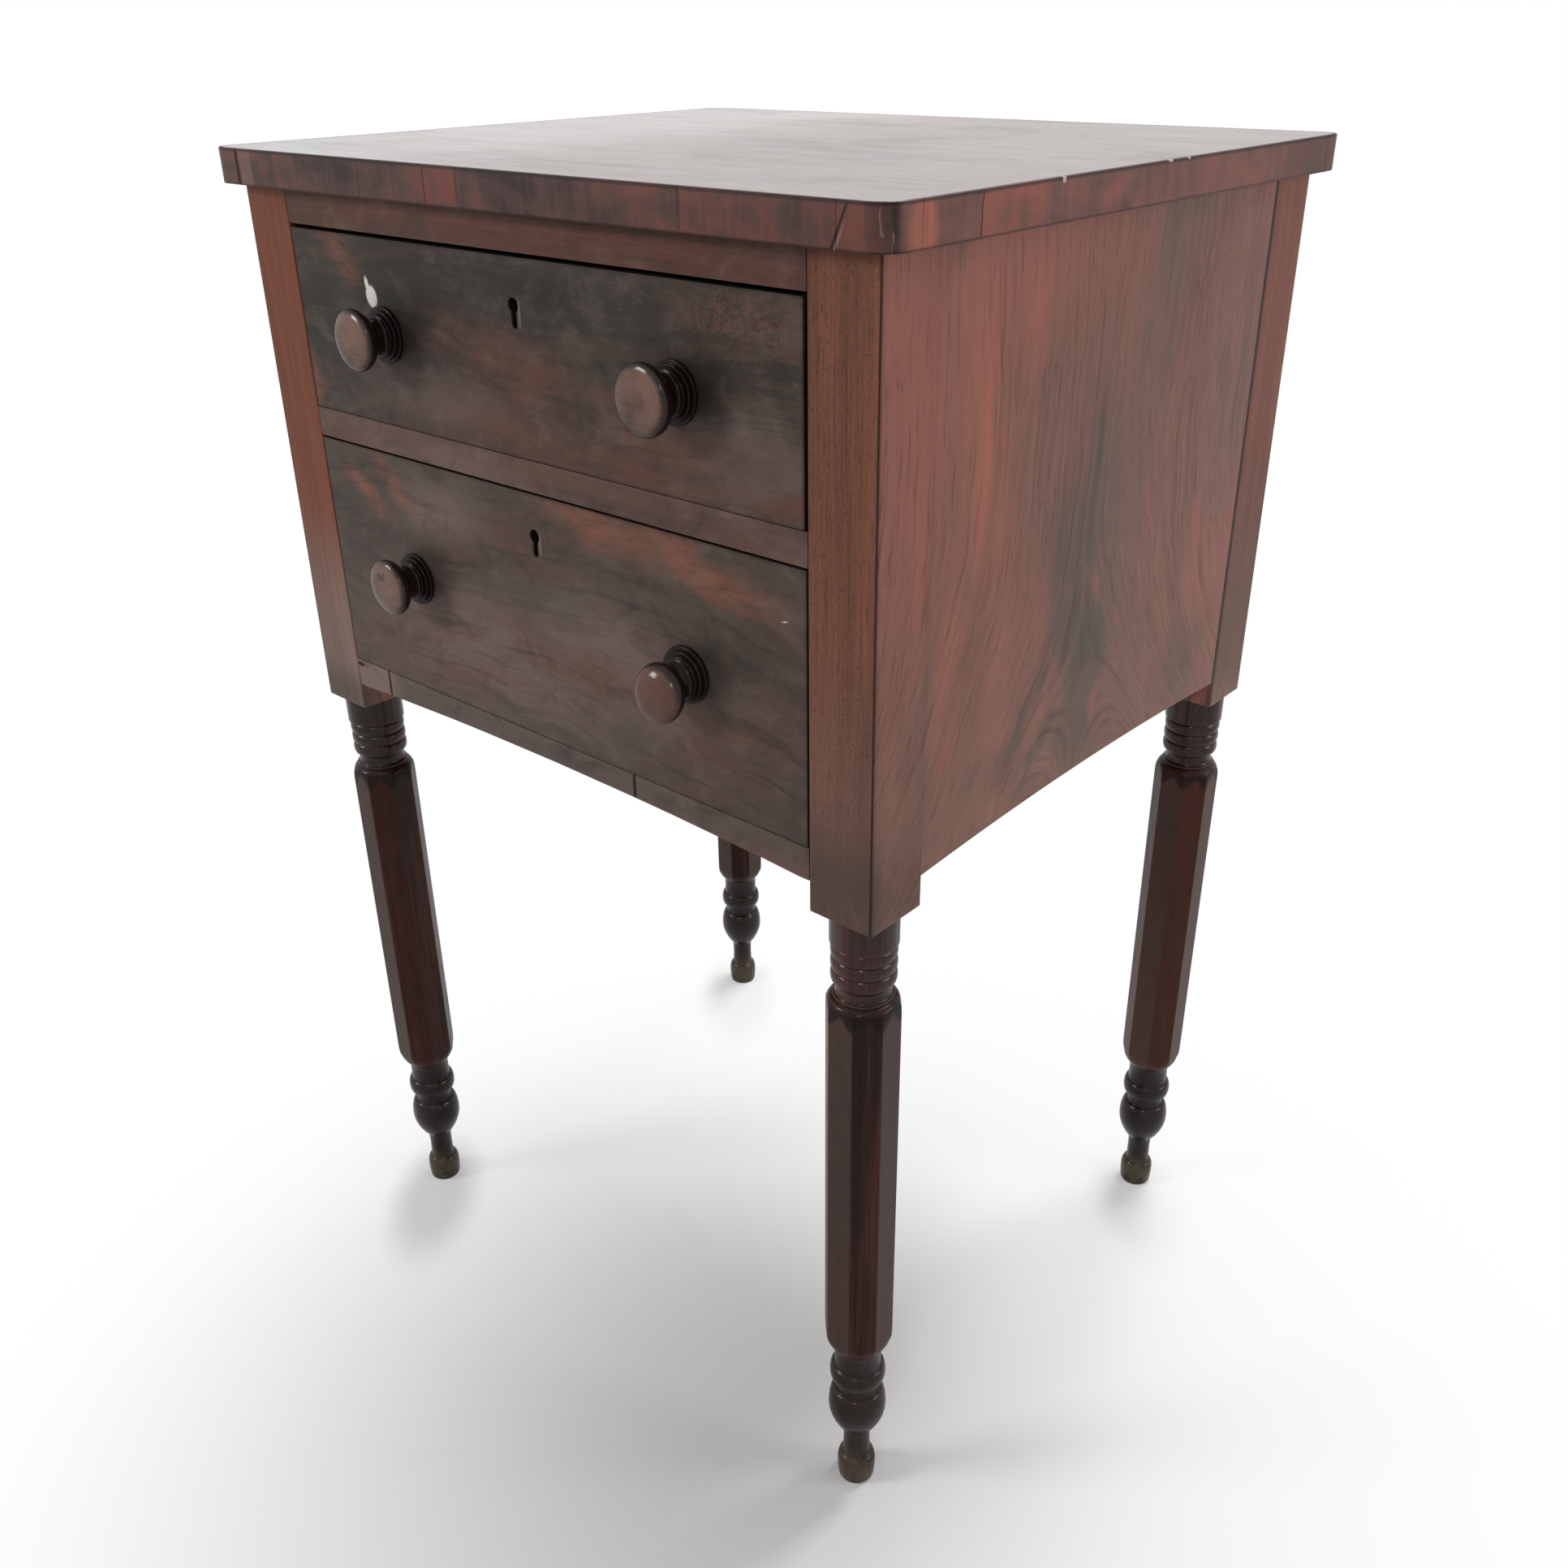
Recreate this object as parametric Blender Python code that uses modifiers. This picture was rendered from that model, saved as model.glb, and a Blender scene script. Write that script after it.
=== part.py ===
"""Two-drawer work table with square posts and octagonal turned legs.

Every piece is its own object: the legs, panels, rails and runners of the case, the banded top,
and two dovetailed drawers with turned knobs and half-mortise locks. Units are metres, +Z is up,
the front faces -Y and the floor is z = 0.
"""

import math

import bmesh
import bpy
from mathutils import Matrix, Vector

# Case and posts
CASE_WIDTH = 0.438
CASE_DEPTH = 0.372
POST_WIDTH = 0.0375
POST_EASING = 0.0008
POST_DROP = 0.017
LEG_LENGTH = 0.3985

# Heights of the front, from the bottom rail up to the top board
BOTTOM_RAIL_HEIGHT = 0.0175
LOWER_FRONT_HEIGHT = 0.1357
LOWER_TOP_GAP = 0.0012
MIDDLE_RAIL_HEIGHT = 0.016
UPPER_FRONT_HEIGHT = 0.095
UPPER_TOP_GAP = 0.002
TOP_RAIL_HEIGHT = 0.018
TOP_THICKNESS = 0.018
SKIRT_RISE = 0.0045

# Fits: pieces glued or nailed together, and pieces that slide
GLUE_GAP = 0.0003
RUN_GAP = 0.0004
BOLT_GAP = 0.0004
OVERCUT = 0.002

# Banded top
TOP_OVERHANG = 0.011
TOP_CORNER_RADIUS = 0.012
BAND_THICKNESS = 0.0015
CORNER_BAND_FRONT = 0.025
CORNER_BAND_SIDE = 0.020
CORNER_STEPS = 5

# Panels, and the tongues that enter the posts
SIDE_PANEL_THICKNESS = 0.016
BACK_PANEL_THICKNESS = 0.012
BACK_PANEL_INSET = 0.003
PANEL_TONGUE_THICKNESS = 0.006
PANEL_TONGUE_LENGTH = 0.010
PANEL_TONGUE_HAUNCH = 0.006

# Front rails, their tenons, and the groove that takes the runners
RAIL_DEPTH = 0.050
TENON_LENGTH = 0.018
TENON_WIDTH = 0.022
TENON_THICKNESS = 0.009
TENON_SETBACK = 0.0045
RAIL_TAIL_LENGTH = 0.016
RAIL_TAIL_NECK = 0.014
RAIL_TAIL_END = 0.020
RUNNER_TONGUE_THICKNESS = 0.005
RUNNER_TONGUE_LENGTH = 0.008
RUNNER_TONGUE_DEPTH = 0.003

# Runners, kickers, guides, stops and the screws that hold the top
RUNNER_HEIGHT = 0.014
RUNNER_REACH = 0.017
GUIDE_HEIGHT = 0.012
GUIDE_SETBACK = 0.0005
STOP_WIDTH = 0.024
STOP_DEPTH = 0.016
STOP_HEIGHT = 0.005
STOP_SPACING = 0.170
SCREW_SPACING = 0.150
SCREW_HEAD_RADIUS = 0.004
SCREW_HEAD_HEIGHT = 0.0024
SCREW_SHANK_RADIUS = 0.0022
SCREW_LENGTH = 0.026
SCREW_POINT = 0.004
SCREW_RECESS = 0.003

# Turned leg, from the post down to the shaft
NECK_RADIUS = 0.0173
NECK_LENGTH = 0.0175
RING_COUNT = 3
RING_RADIUS = 0.0167
RING_ROOT = 0.0157
RING_HEIGHT = 0.0073
COVE_RADIUS = 0.0140
COVE_HEIGHT = 0.0071
LIP_RADIUS = 0.0158
LIP_HEIGHT = 0.0012
LIP_GROOVE = 0.0006
SHOULDER_HEIGHT = 0.0125
SHAFT_ACROSS_FLATS = 0.0366
SHAFT_WASTE = 0.0007

# Turned leg, from the floor up to the shaft
FOOT_RADIUS = 0.0112
FOOT_BASE_RADIUS = 0.0100
FOOT_LOWER_HEIGHT = 0.0120
FOOT_UPPER_HEIGHT = 0.0067
WAIST_ROOT = 0.0083
WAIST_RADIUS = 0.0077
WAIST_HEIGHT = 0.0213
URN_RADIUS = 0.0167
URN_LOWER_HEIGHT = 0.0208
URN_UPPER_HEIGHT = 0.0131
URN_COVE_ROOT = 0.0128
URN_COVE_RADIUS = 0.0121
URN_COVE_HEIGHT = 0.0074
ANKLE_RING_RADIUS = 0.0160
ANKLE_RING_HEIGHT = 0.0121
ANKLE_ROOT = 0.0137
ANKLE_RADIUS = 0.0131
ANKLE_HEIGHT = 0.0145
SHAFT_TAPER_HEIGHT = 0.0182
LEG_STEPS = 16

# Drawers
DRAWER_REAR_SPACE = 0.011
FRONT_THICKNESS = 0.019
DRAWER_GAP_LEFT = 0.0008
UPPER_GAP_RIGHT = 0.0022
LOWER_GAP_RIGHT = 0.0012
SIDE_THICKNESS = 0.010
SIDE_DROP = 0.002
BACK_THICKNESS = 0.009
BACK_DROP = 0.004
BOTTOM_THICKNESS = 0.007
BOTTOM_RAISE = 0.008
GROOVE_DEPTH = 0.0045
TAIL_LENGTH = 0.012
TAIL_PITCH = 0.032
TAIL_SLOPE = 1 / 6
PIN_WIDTH = 0.009
BACK_PIN_WIDTH = 0.008

# Knobs
KNOB_SPACING = 0.211
KNOB_PROJECTION = 0.023
KNOB_HEAD_RADIUS = 0.0167
KNOB_HEAD_EDGE = 0.0045
KNOB_DOME = 0.0045
KNOB_NECK_RADIUS = 0.0075
KNOB_NECK_LENGTH = 0.0035
KNOB_BASE_RADIUS = 0.0156
KNOB_BASE_HEIGHT = 0.0022
KNOB_STEP_RADIUS = 0.0138
KNOB_STEP_HEIGHT = 0.0020
KNOB_COLLAR_RADIUS = 0.0118
KNOB_COLLAR_HEIGHT = 0.0016
KNOB_TENON_RADIUS = 0.005
KNOB_STEPS = 16

# Keyholes and locks
KEYHOLE_DROP = 0.0255
KEYHOLE_HEIGHT = 0.0145
KEYHOLE_RADIUS = 0.0036
KEYHOLE_SLOT = 0.0036
LOCK_WIDTH = 0.042
LOCK_HEIGHT = 0.040
LOCK_DEPTH = 0.009
LOCK_PLATE_MARGIN = 0.005
LOCK_PLATE_THICKNESS = 0.0012
LOCK_EDGE_DROP = 0.0005
KEY_PIN_RADIUS = 0.0012
KEY_HOLE_DEPTH = 0.006
BOLT_WIDTH = 0.020
BOLT_HEIGHT = 0.014
BOLT_THICKNESS = 0.004
BOLT_THROW = 0.006

# Levels, from the floor up
SKIRT_Z = LEG_LENGTH + POST_DROP
BOTTOM_RAIL_TOP = SKIRT_Z + BOTTOM_RAIL_HEIGHT
LOWER_BOTTOM = BOTTOM_RAIL_TOP + RUN_GAP
LOWER_TOP = LOWER_BOTTOM + LOWER_FRONT_HEIGHT
MIDDLE_RAIL_BOTTOM = LOWER_TOP + LOWER_TOP_GAP
MIDDLE_RAIL_TOP = MIDDLE_RAIL_BOTTOM + MIDDLE_RAIL_HEIGHT
UPPER_BOTTOM = MIDDLE_RAIL_TOP + RUN_GAP
UPPER_TOP = UPPER_BOTTOM + UPPER_FRONT_HEIGHT
TOP_RAIL_BOTTOM = UPPER_TOP + UPPER_TOP_GAP
CASE_TOP = TOP_RAIL_BOTTOM + TOP_RAIL_HEIGHT
TOP_UNDERSIDE = CASE_TOP + GLUE_GAP
TABLE_HEIGHT = TOP_UNDERSIDE + TOP_THICKNESS

# Places in plan: the knobs reach further forward than the top reaches back
CASE_SHIFT = (KNOB_PROJECTION - TOP_OVERHANG) / 2
FRONT_Y = CASE_SHIFT - CASE_DEPTH / 2
REAR_Y = CASE_SHIFT + CASE_DEPTH / 2
OUTER_X = CASE_WIDTH / 2
INNER_X = OUTER_X - POST_WIDTH
POST_BACK_Y = FRONT_Y + POST_WIDTH
REAR_POST_Y = REAR_Y - POST_WIDTH
PANEL_INNER_X = OUTER_X - SIDE_PANEL_THICKNESS
RAIL_BACK_Y = FRONT_Y + RAIL_DEPTH
FRONT_INSIDE_Y = FRONT_Y + FRONT_THICKNESS
BACK_PANEL_Y = REAR_Y - BACK_PANEL_INSET - BACK_PANEL_THICKNESS
DRAWER_END_Y = BACK_PANEL_Y - DRAWER_REAR_SPACE
TENON_MID_Y = FRONT_Y + TENON_SETBACK + TENON_WIDTH / 2

SIDES = (("left", -1), ("right", 1))


def clear_scene():
    """Removes every object of the scene that the script starts in."""
    for obj in list(bpy.data.objects):
        bpy.data.objects.remove(obj, do_unlink=True)


def new_collection(name):
    """A new collection under the scene's own."""
    collection = bpy.data.collections.new(name)
    bpy.context.scene.collection.children.link(collection)
    return collection


def new_material(name, colour, roughness, metallic=0.0):
    """A Principled BSDF material of one colour."""
    material = bpy.data.materials.new(name)
    material.use_nodes = True
    shader = material.node_tree.nodes["Principled BSDF"]
    shader.inputs["Base Color"].default_value = (*colour, 1.0)
    shader.inputs["Roughness"].default_value = roughness
    shader.inputs["Metallic"].default_value = metallic
    return material


class Workshop:
    """The collections and materials, and the ways in which pieces are made."""

    def __init__(self):
        self.parts = new_collection("work_table")
        self.cutters = new_collection("work_table_cutters")
        self.materials = {
            "leg_mahogany": new_material("leg_mahogany", (0.075, 0.030, 0.018), 0.38),
            "case_mahogany": new_material("case_mahogany", (0.130, 0.050, 0.030), 0.36),
            "drawer_veneer": new_material("drawer_veneer", (0.060, 0.035, 0.025), 0.28),
            "top_mahogany": new_material("top_mahogany", (0.110, 0.045, 0.030), 0.22),
            "edge_band": new_material("edge_band", (0.085, 0.038, 0.028), 0.34),
            "knob_mahogany": new_material("knob_mahogany", (0.100, 0.045, 0.030), 0.25),
            "secondary_wood": new_material("secondary_wood", (0.420, 0.270, 0.140), 0.65),
            "lock_brass": new_material("lock_brass", (0.480, 0.330, 0.120), 0.40, 1.0),
            "dark_iron": new_material("dark_iron", (0.120, 0.110, 0.105), 0.55, 1.0),
        }

    def place(self, name, mesh, material, location=(0, 0, 0)):
        """An object of the parts collection or, with no material, a hidden cutter."""
        obj = bpy.data.objects.new(name, mesh)
        obj.location = location
        if material is None:
            self.cutters.objects.link(obj)
            obj.hide_render = True
            obj.display_type = "WIRE"
        else:
            self.parts.objects.link(obj)
            mesh.materials.append(self.materials[material])
        return obj

    def box(self, name, low, high, material=None):
        """A rectangular block between two corners, with its origin at the middle."""
        low = Vector(low)
        high = Vector(high)
        mesh = bpy.data.meshes.new(name)
        shape = bmesh.new()
        bmesh.ops.create_cube(shape, size=1.0)
        bmesh.ops.scale(shape, vec=high - low, verts=shape.verts)
        shape.to_mesh(mesh)
        shape.free()
        return self.place(name, mesh, material, (low + high) / 2)

    def prism(self, name, loops, axis, low, high, material=None):
        """Flat outlines filled and drawn out along an axis.

        The outlines hold (y, z) points for X, (x, z) points for Y and (x, y) points for Z.
        """
        curve = bpy.data.curves.new(name, "CURVE")
        curve.dimensions = "2D"
        curve.fill_mode = "BOTH"
        curve.extrude = (high - low) / 2
        for loop in loops:
            spline = curve.splines.new("POLY")
            spline.points.add(len(loop) - 1)
            spline.use_cyclic_u = True
            for point, (u, v) in zip(spline.points, loop):
                point.co = (u, v, 0.0, 1.0)
        middle = (low + high) / 2
        turn = {
            "X": Matrix(((0, 0, 1, middle), (1, 0, 0, 0), (0, 1, 0, 0), (0, 0, 0, 1))),
            "Y": Matrix(((1, 0, 0, 0), (0, 0, -1, middle), (0, 1, 0, 0), (0, 0, 0, 1))),
            "Z": Matrix.Translation((0, 0, middle)),
        }[axis]
        source = bpy.data.objects.new(name + "_outline", curve)
        self.parts.objects.link(source)
        graph = bpy.context.evaluated_depsgraph_get()
        mesh = bpy.data.meshes.new_from_object(source.evaluated_get(graph))
        bpy.data.objects.remove(source, do_unlink=True)
        bpy.data.curves.remove(curve)
        mesh.name = name
        mesh.materials.clear()
        mesh.transform(turn)
        shape = bmesh.new()
        shape.from_mesh(mesh)
        bmesh.ops.remove_doubles(shape, verts=shape.verts, dist=1e-6)
        bmesh.ops.dissolve_limit(shape, angle_limit=0.001, verts=shape.verts, edges=shape.edges)
        bmesh.ops.recalc_face_normals(shape, faces=shape.faces)
        shape.to_mesh(mesh)
        shape.free()
        return self.place(name, mesh, material)

    def turned(self, name, profile, steps, material=None, location=(0, 0, 0), closed=False):
        """A profile of (radius, height) points, listed from the top down, turned about Z."""
        mesh = bpy.data.meshes.new(name)
        points = [(radius, 0.0, height) for radius, height in profile]
        edges = [(i, i + 1) for i in range(len(points) - 1)]
        if closed:
            edges.append((len(points) - 1, 0))
        mesh.from_pydata(points, edges, [])
        obj = self.place(name, mesh, material, location)
        screw = obj.modifiers.new("turn", "SCREW")
        screw.axis = "Z"
        screw.angle = 2 * math.pi
        screw.steps = steps
        screw.render_steps = steps
        screw.use_merge_vertices = True
        screw.merge_threshold = 0.00001
        screw.use_smooth_shade = False
        return obj

    def boolean(self, obj, other, operation):
        """A Boolean modifier that joins or cuts with a helper."""
        modifier = obj.modifiers.new(operation.lower() + "_" + other.name, "BOOLEAN")
        modifier.operation = operation
        modifier.solver = "EXACT"
        modifier.object = other

    def cut(self, obj, other):
        self.boolean(obj, other, "DIFFERENCE")

    def join(self, obj, other):
        self.boolean(obj, other, "UNION")

    def empty(self, name, location):
        """A parent for pieces that move together."""
        obj = bpy.data.objects.new(name, None)
        obj.location = location
        obj.empty_display_size = 0.05
        self.parts.objects.link(obj)
        return obj

    def carry(self, parent, pieces):
        """Parents pieces to an empty without moving them."""
        for piece in pieces:
            piece.parent = parent
            piece.matrix_parent_inverse = Matrix.Translation(-parent.location)


def arc(middle, radii, start, end, steps):
    """Points of an elliptic arc between two angles in degrees."""
    points = []
    for i in range(steps + 1):
        angle = math.radians(start + (end - start) * i / steps)
        points.append((middle[0] + radii[0] * math.cos(angle), middle[1] + radii[1] * math.sin(angle)))
    return points


def bend(start, handle, end, steps):
    """Points of a quadratic Bezier curve after its start."""
    points = []
    for i in range(1, steps + 1):
        t = i / steps
        weights = ((1 - t) ** 2, 2 * t * (1 - t), t ** 2)
        points.append(tuple(sum(w * p[k] for w, p in zip(weights, (start, handle, end))) for k in (0, 1)))
    return points


def bead(top, bottom, root, crown, steps):
    """Profile points of a half-round ring, or of a cove where the crown is inside the root."""
    points = []
    for i in range(steps + 1):
        angle = math.pi * i / steps
        radius = root + (crown - root) * math.sin(angle)
        height = top + (bottom - top) * (1 - math.cos(angle)) / 2
        points.append((radius, height))
    return points


def rounded_rectangle(x, y, radius, steps, middle=(0, 0)):
    """A rectangle of half sizes x and y about a middle, with its corners rounded."""
    points = []
    for sx, sy, start in ((1, 1, 0), (-1, 1, 90), (-1, -1, 180), (1, -1, 270)):
        centre = (middle[0] + sx * (x - radius), middle[1] + sy * (y - radius))
        points += arc(centre, (radius, radius), start, start + 90, steps)
    return points


def rectangle(x0, x1, y0, y1):
    return [(x0, y0), (x1, y0), (x1, y1), (x0, y1)]


def leg_profile():
    """The turning of one leg, from inside its post down to the floor."""
    shaft = SHAFT_ACROSS_FLATS / 2 / math.cos(math.pi / 8) + SHAFT_WASTE
    z = LEG_LENGTH
    points = [(0.0, z + OVERCUT), (NECK_RADIUS, z + OVERCUT)]
    z -= NECK_LENGTH
    points.append((NECK_RADIUS, z + LIP_GROOVE))
    for _ in range(RING_COUNT):
        points += bead(z, z - RING_HEIGHT, RING_ROOT, RING_RADIUS, 4)[:-1]
        z -= RING_HEIGHT
    points += bead(z, z - COVE_HEIGHT, RING_ROOT, COVE_RADIUS, 4)[:-1]
    z -= COVE_HEIGHT
    points.append((LIP_RADIUS, z))
    z -= LIP_HEIGHT
    points.append((LIP_RADIUS, z))
    z -= LIP_GROOVE
    points += arc((RING_ROOT, z - SHOULDER_HEIGHT), (shaft - RING_ROOT, SHOULDER_HEIGHT), 90, 0, 5)

    foot = FOOT_LOWER_HEIGHT + FOOT_UPPER_HEIGHT
    waist = foot + WAIST_HEIGHT
    urn = waist + URN_LOWER_HEIGHT
    cove = urn + URN_UPPER_HEIGHT
    pinch = cove + URN_COVE_HEIGHT
    ring = pinch + ANKLE_RING_HEIGHT
    ankle = ring + ANKLE_HEIGHT
    taper = ankle + SHAFT_TAPER_HEIGHT
    points.append((shaft, taper))
    handle = (shaft - SHAFT_WASTE, ankle + 0.37 * SHAFT_TAPER_HEIGHT)
    points += bend((shaft, taper), handle, (ANKLE_ROOT, ankle), 5)
    points += bead(ankle, ring, ANKLE_ROOT, ANKLE_RADIUS, 4)[1:-1]
    points += bead(ring, pinch, ANKLE_ROOT, ANKLE_RING_RADIUS, 6)
    points += bead(pinch, cove, URN_COVE_ROOT, URN_COVE_RADIUS, 4)[:-1]
    points += arc((URN_COVE_ROOT, urn), (URN_RADIUS - URN_COVE_ROOT, URN_UPPER_HEIGHT), 90, 0, 4)
    points += bend((URN_RADIUS, urn), (URN_RADIUS, waist + 0.53 * URN_LOWER_HEIGHT), (WAIST_ROOT, waist), 5)
    points += bead(waist, foot, WAIST_ROOT, WAIST_RADIUS, 4)[1:]
    reach = FOOT_RADIUS - WAIST_ROOT
    points += arc((WAIST_ROOT, FOOT_LOWER_HEIGHT), (reach, FOOT_UPPER_HEIGHT), 90, 0, 4)[1:]
    reach = FOOT_RADIUS - FOOT_BASE_RADIUS
    points += arc((FOOT_BASE_RADIUS, FOOT_LOWER_HEIGHT), (reach, FOOT_LOWER_HEIGHT), 0, -90, 3)[1:]
    points.append((0.0, 0.0))
    return points


def shaft_cutter(shop, name, location):
    """The waste round a leg's shaft: a ring whose inside is a regular octagon."""
    inner = SHAFT_ACROSS_FLATS / 2 / math.cos(math.pi / 8)
    outer = POST_WIDTH
    low = (
        FOOT_LOWER_HEIGHT + FOOT_UPPER_HEIGHT + WAIST_HEIGHT + URN_LOWER_HEIGHT + URN_UPPER_HEIGHT
        + URN_COVE_HEIGHT + ANKLE_RING_HEIGHT + ANKLE_HEIGHT / 2
    )
    high = LEG_LENGTH - NECK_LENGTH - RING_COUNT * RING_HEIGHT - COVE_HEIGHT / 2
    profile = [(inner, low), (outer, low), (outer, high), (inner, high)]
    cutter = shop.turned(name, profile[::-1], 8, location=location, closed=True)
    cutter.rotation_euler.z = math.pi / 8
    return cutter


def dovetailed_outline():
    """Plan of the top rail, with a dovetail at both ends."""
    x = INNER_X - GLUE_GAP
    half = [
        (x, FRONT_Y),
        (x, TENON_MID_Y - RAIL_TAIL_NECK / 2),
        (x + RAIL_TAIL_LENGTH, TENON_MID_Y - RAIL_TAIL_END / 2),
        (x + RAIL_TAIL_LENGTH, TENON_MID_Y + RAIL_TAIL_END / 2),
        (x, TENON_MID_Y + RAIL_TAIL_NECK / 2),
        (x, RAIL_BACK_Y),
    ]
    return half + [(-u, v) for u, v in reversed(half)]


def tenoned_rail(shop, name, bottom, top):
    """A front rail: a block with a bar through it whose ends are the tenons."""
    x = INNER_X - GLUE_GAP
    rail = shop.box(name, (-x, FRONT_Y, bottom), (x, RAIL_BACK_Y, top), "case_mahogany")
    reach = x + TENON_LENGTH
    middle = (bottom + top) / 2
    low = (-reach, TENON_MID_Y - TENON_WIDTH / 2, middle - TENON_THICKNESS / 2)
    high = (reach, TENON_MID_Y + TENON_WIDTH / 2, middle + TENON_THICKNESS / 2)
    shop.join(rail, shop.box(name + "_tenons", low, high))
    groove_rail(shop, rail, name, top)
    return rail


def make_legs(shop):
    """Four legs: a square post over a turned and octagonal leg, cut for panels and rails."""
    post_half = POST_WIDTH / 2
    groove_half = PANEL_TONGUE_THICKNESS / 2 + GLUE_GAP
    groove_depth = PANEL_TONGUE_LENGTH + GLUE_GAP
    side_x = OUTER_X - SIDE_PANEL_THICKNESS / 2
    back_y = REAR_Y - BACK_PANEL_INSET - BACK_PANEL_THICKNESS / 2
    groove_low = SKIRT_Z + PANEL_TONGUE_HAUNCH - GLUE_GAP
    above = CASE_TOP + OVERCUT
    for side, sign in SIDES:
        for end, y in (("front", FRONT_Y + post_half), ("rear", REAR_Y - post_half)):
            name = "leg_" + end + "_" + side
            x = sign * (OUTER_X - post_half)
            outline = rounded_rectangle(post_half, post_half, POST_EASING, 2, (x, y))
            leg = shop.prism(name, [outline], "Z", LEG_LENGTH, CASE_TOP, "leg_mahogany")
            turning = shop.turned(name + "_turning", leg_profile(), LEG_STEPS, location=(x, y, 0))
            shop.cut(turning, shaft_cutter(shop, name + "_shaft_waste", (x, y, 0)))
            shop.join(leg, turning)

            inner = POST_BACK_Y if end == "front" else REAR_POST_Y
            inward = 1 if end == "front" else -1
            groove_y = sorted((inner - inward * groove_depth, inner + inward * OVERCUT))
            groove_x = sorted((sign * (side_x - groove_half), sign * (side_x + groove_half)))
            low = (groove_x[0], groove_y[0], groove_low)
            shop.cut(leg, shop.box(name + "_side_groove", low, (groove_x[1], groove_y[1], above)))
            if end == "rear":
                reach = sorted((sign * (INNER_X - OVERCUT), sign * (INNER_X + groove_depth)))
                low = (reach[0], back_y - groove_half, groove_low)
                shop.cut(leg, shop.box(name + "_back_groove", low, (reach[1], back_y + groove_half, above)))
                continue
            for rail, bottom, top in (
                ("middle", MIDDLE_RAIL_BOTTOM, MIDDLE_RAIL_TOP),
                ("bottom", SKIRT_Z, BOTTOM_RAIL_TOP),
            ):
                reach = sorted((sign * (INNER_X - OVERCUT), sign * (INNER_X + TENON_LENGTH)))
                width = TENON_WIDTH / 2 + GLUE_GAP
                thick = TENON_THICKNESS / 2 + GLUE_GAP
                low = (reach[0], TENON_MID_Y - width, (bottom + top) / 2 - thick)
                high = (reach[1], TENON_MID_Y + width, (bottom + top) / 2 + thick)
                shop.cut(leg, shop.box(name + "_" + rail + "_mortise", low, high))
            grow = (RAIL_TAIL_END - RAIL_TAIL_NECK) / 2 / RAIL_TAIL_LENGTH
            near = RAIL_TAIL_NECK / 2 + GLUE_GAP - grow * OVERCUT
            far = RAIL_TAIL_END / 2 + GLUE_GAP
            socket = [
                (sign * (INNER_X - OVERCUT), TENON_MID_Y - near),
                (sign * (INNER_X + RAIL_TAIL_LENGTH), TENON_MID_Y - far),
                (sign * (INNER_X + RAIL_TAIL_LENGTH), TENON_MID_Y + far),
                (sign * (INNER_X - OVERCUT), TENON_MID_Y + near),
            ]
            low = TOP_RAIL_BOTTOM - GLUE_GAP
            shop.cut(leg, shop.prism(name + "_tail_socket", [socket], "Z", low, above))


def skirt_arch(middle, half):
    """Points of the slight arch in a lower edge, without its two ends, from + to - along it."""
    shares = [1 - i / 6 for i in range(1, 12)]
    return [(middle + half * share, SKIRT_Z + SKIRT_RISE * (1 - share ** 2)) for share in shares]


def make_panels(shop):
    """Two side panels with a slightly arched lower edge, and the back panel, all tongued."""
    front = POST_BACK_Y + GLUE_GAP
    rear = REAR_POST_Y - GLUE_GAP
    middle = (front + rear) / 2
    half = (rear - front) / 2
    arch = skirt_arch(middle, half)
    tongue = PANEL_TONGUE_LENGTH
    haunch = SKIRT_Z + PANEL_TONGUE_HAUNCH
    inset = (SIDE_PANEL_THICKNESS - PANEL_TONGUE_THICKNESS) / 2
    board = [(front, SKIRT_Z), (front, CASE_TOP), (rear, CASE_TOP), (rear, SKIRT_Z)] + arch
    core = rectangle(front - tongue, rear + tongue, haunch, CASE_TOP - GLUE_GAP)
    for side, sign in SIDES:
        outer = sorted((sign * OUTER_X, sign * PANEL_INNER_X))
        panel = shop.prism("side_panel_" + side, [board], "X", outer[0], outer[1], "case_mahogany")
        name = "side_panel_" + side + "_tongues"
        shop.join(panel, shop.prism(name, [core], "X", outer[0] + inset, outer[1] - inset))

    back = REAR_Y - BACK_PANEL_INSET
    x = INNER_X - GLUE_GAP
    inset = (BACK_PANEL_THICKNESS - PANEL_TONGUE_THICKNESS) / 2
    low = (-x, back - BACK_PANEL_THICKNESS, SKIRT_Z)
    panel = shop.box("back_panel", low, (x, back, CASE_TOP), "secondary_wood")
    low = (-x - tongue, back - BACK_PANEL_THICKNESS + inset, haunch)
    shop.join(panel, shop.box("back_panel_tongues", low, (x + tongue, back - inset, CASE_TOP - GLUE_GAP)))


def groove_rail(shop, rail, name, top):
    """Cuts the groove along a rail's back that takes the runners' tongues."""
    high = top - RUNNER_TONGUE_DEPTH + GLUE_GAP
    low = high - RUNNER_TONGUE_THICKNESS - 2 * GLUE_GAP
    back = RAIL_BACK_Y - RUNNER_TONGUE_LENGTH - GLUE_GAP
    groove = shop.box(name + "_groove", (-OUTER_X, back, low), (OUTER_X, RAIL_BACK_Y + OVERCUT, high))
    shop.cut(rail, groove)


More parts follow.
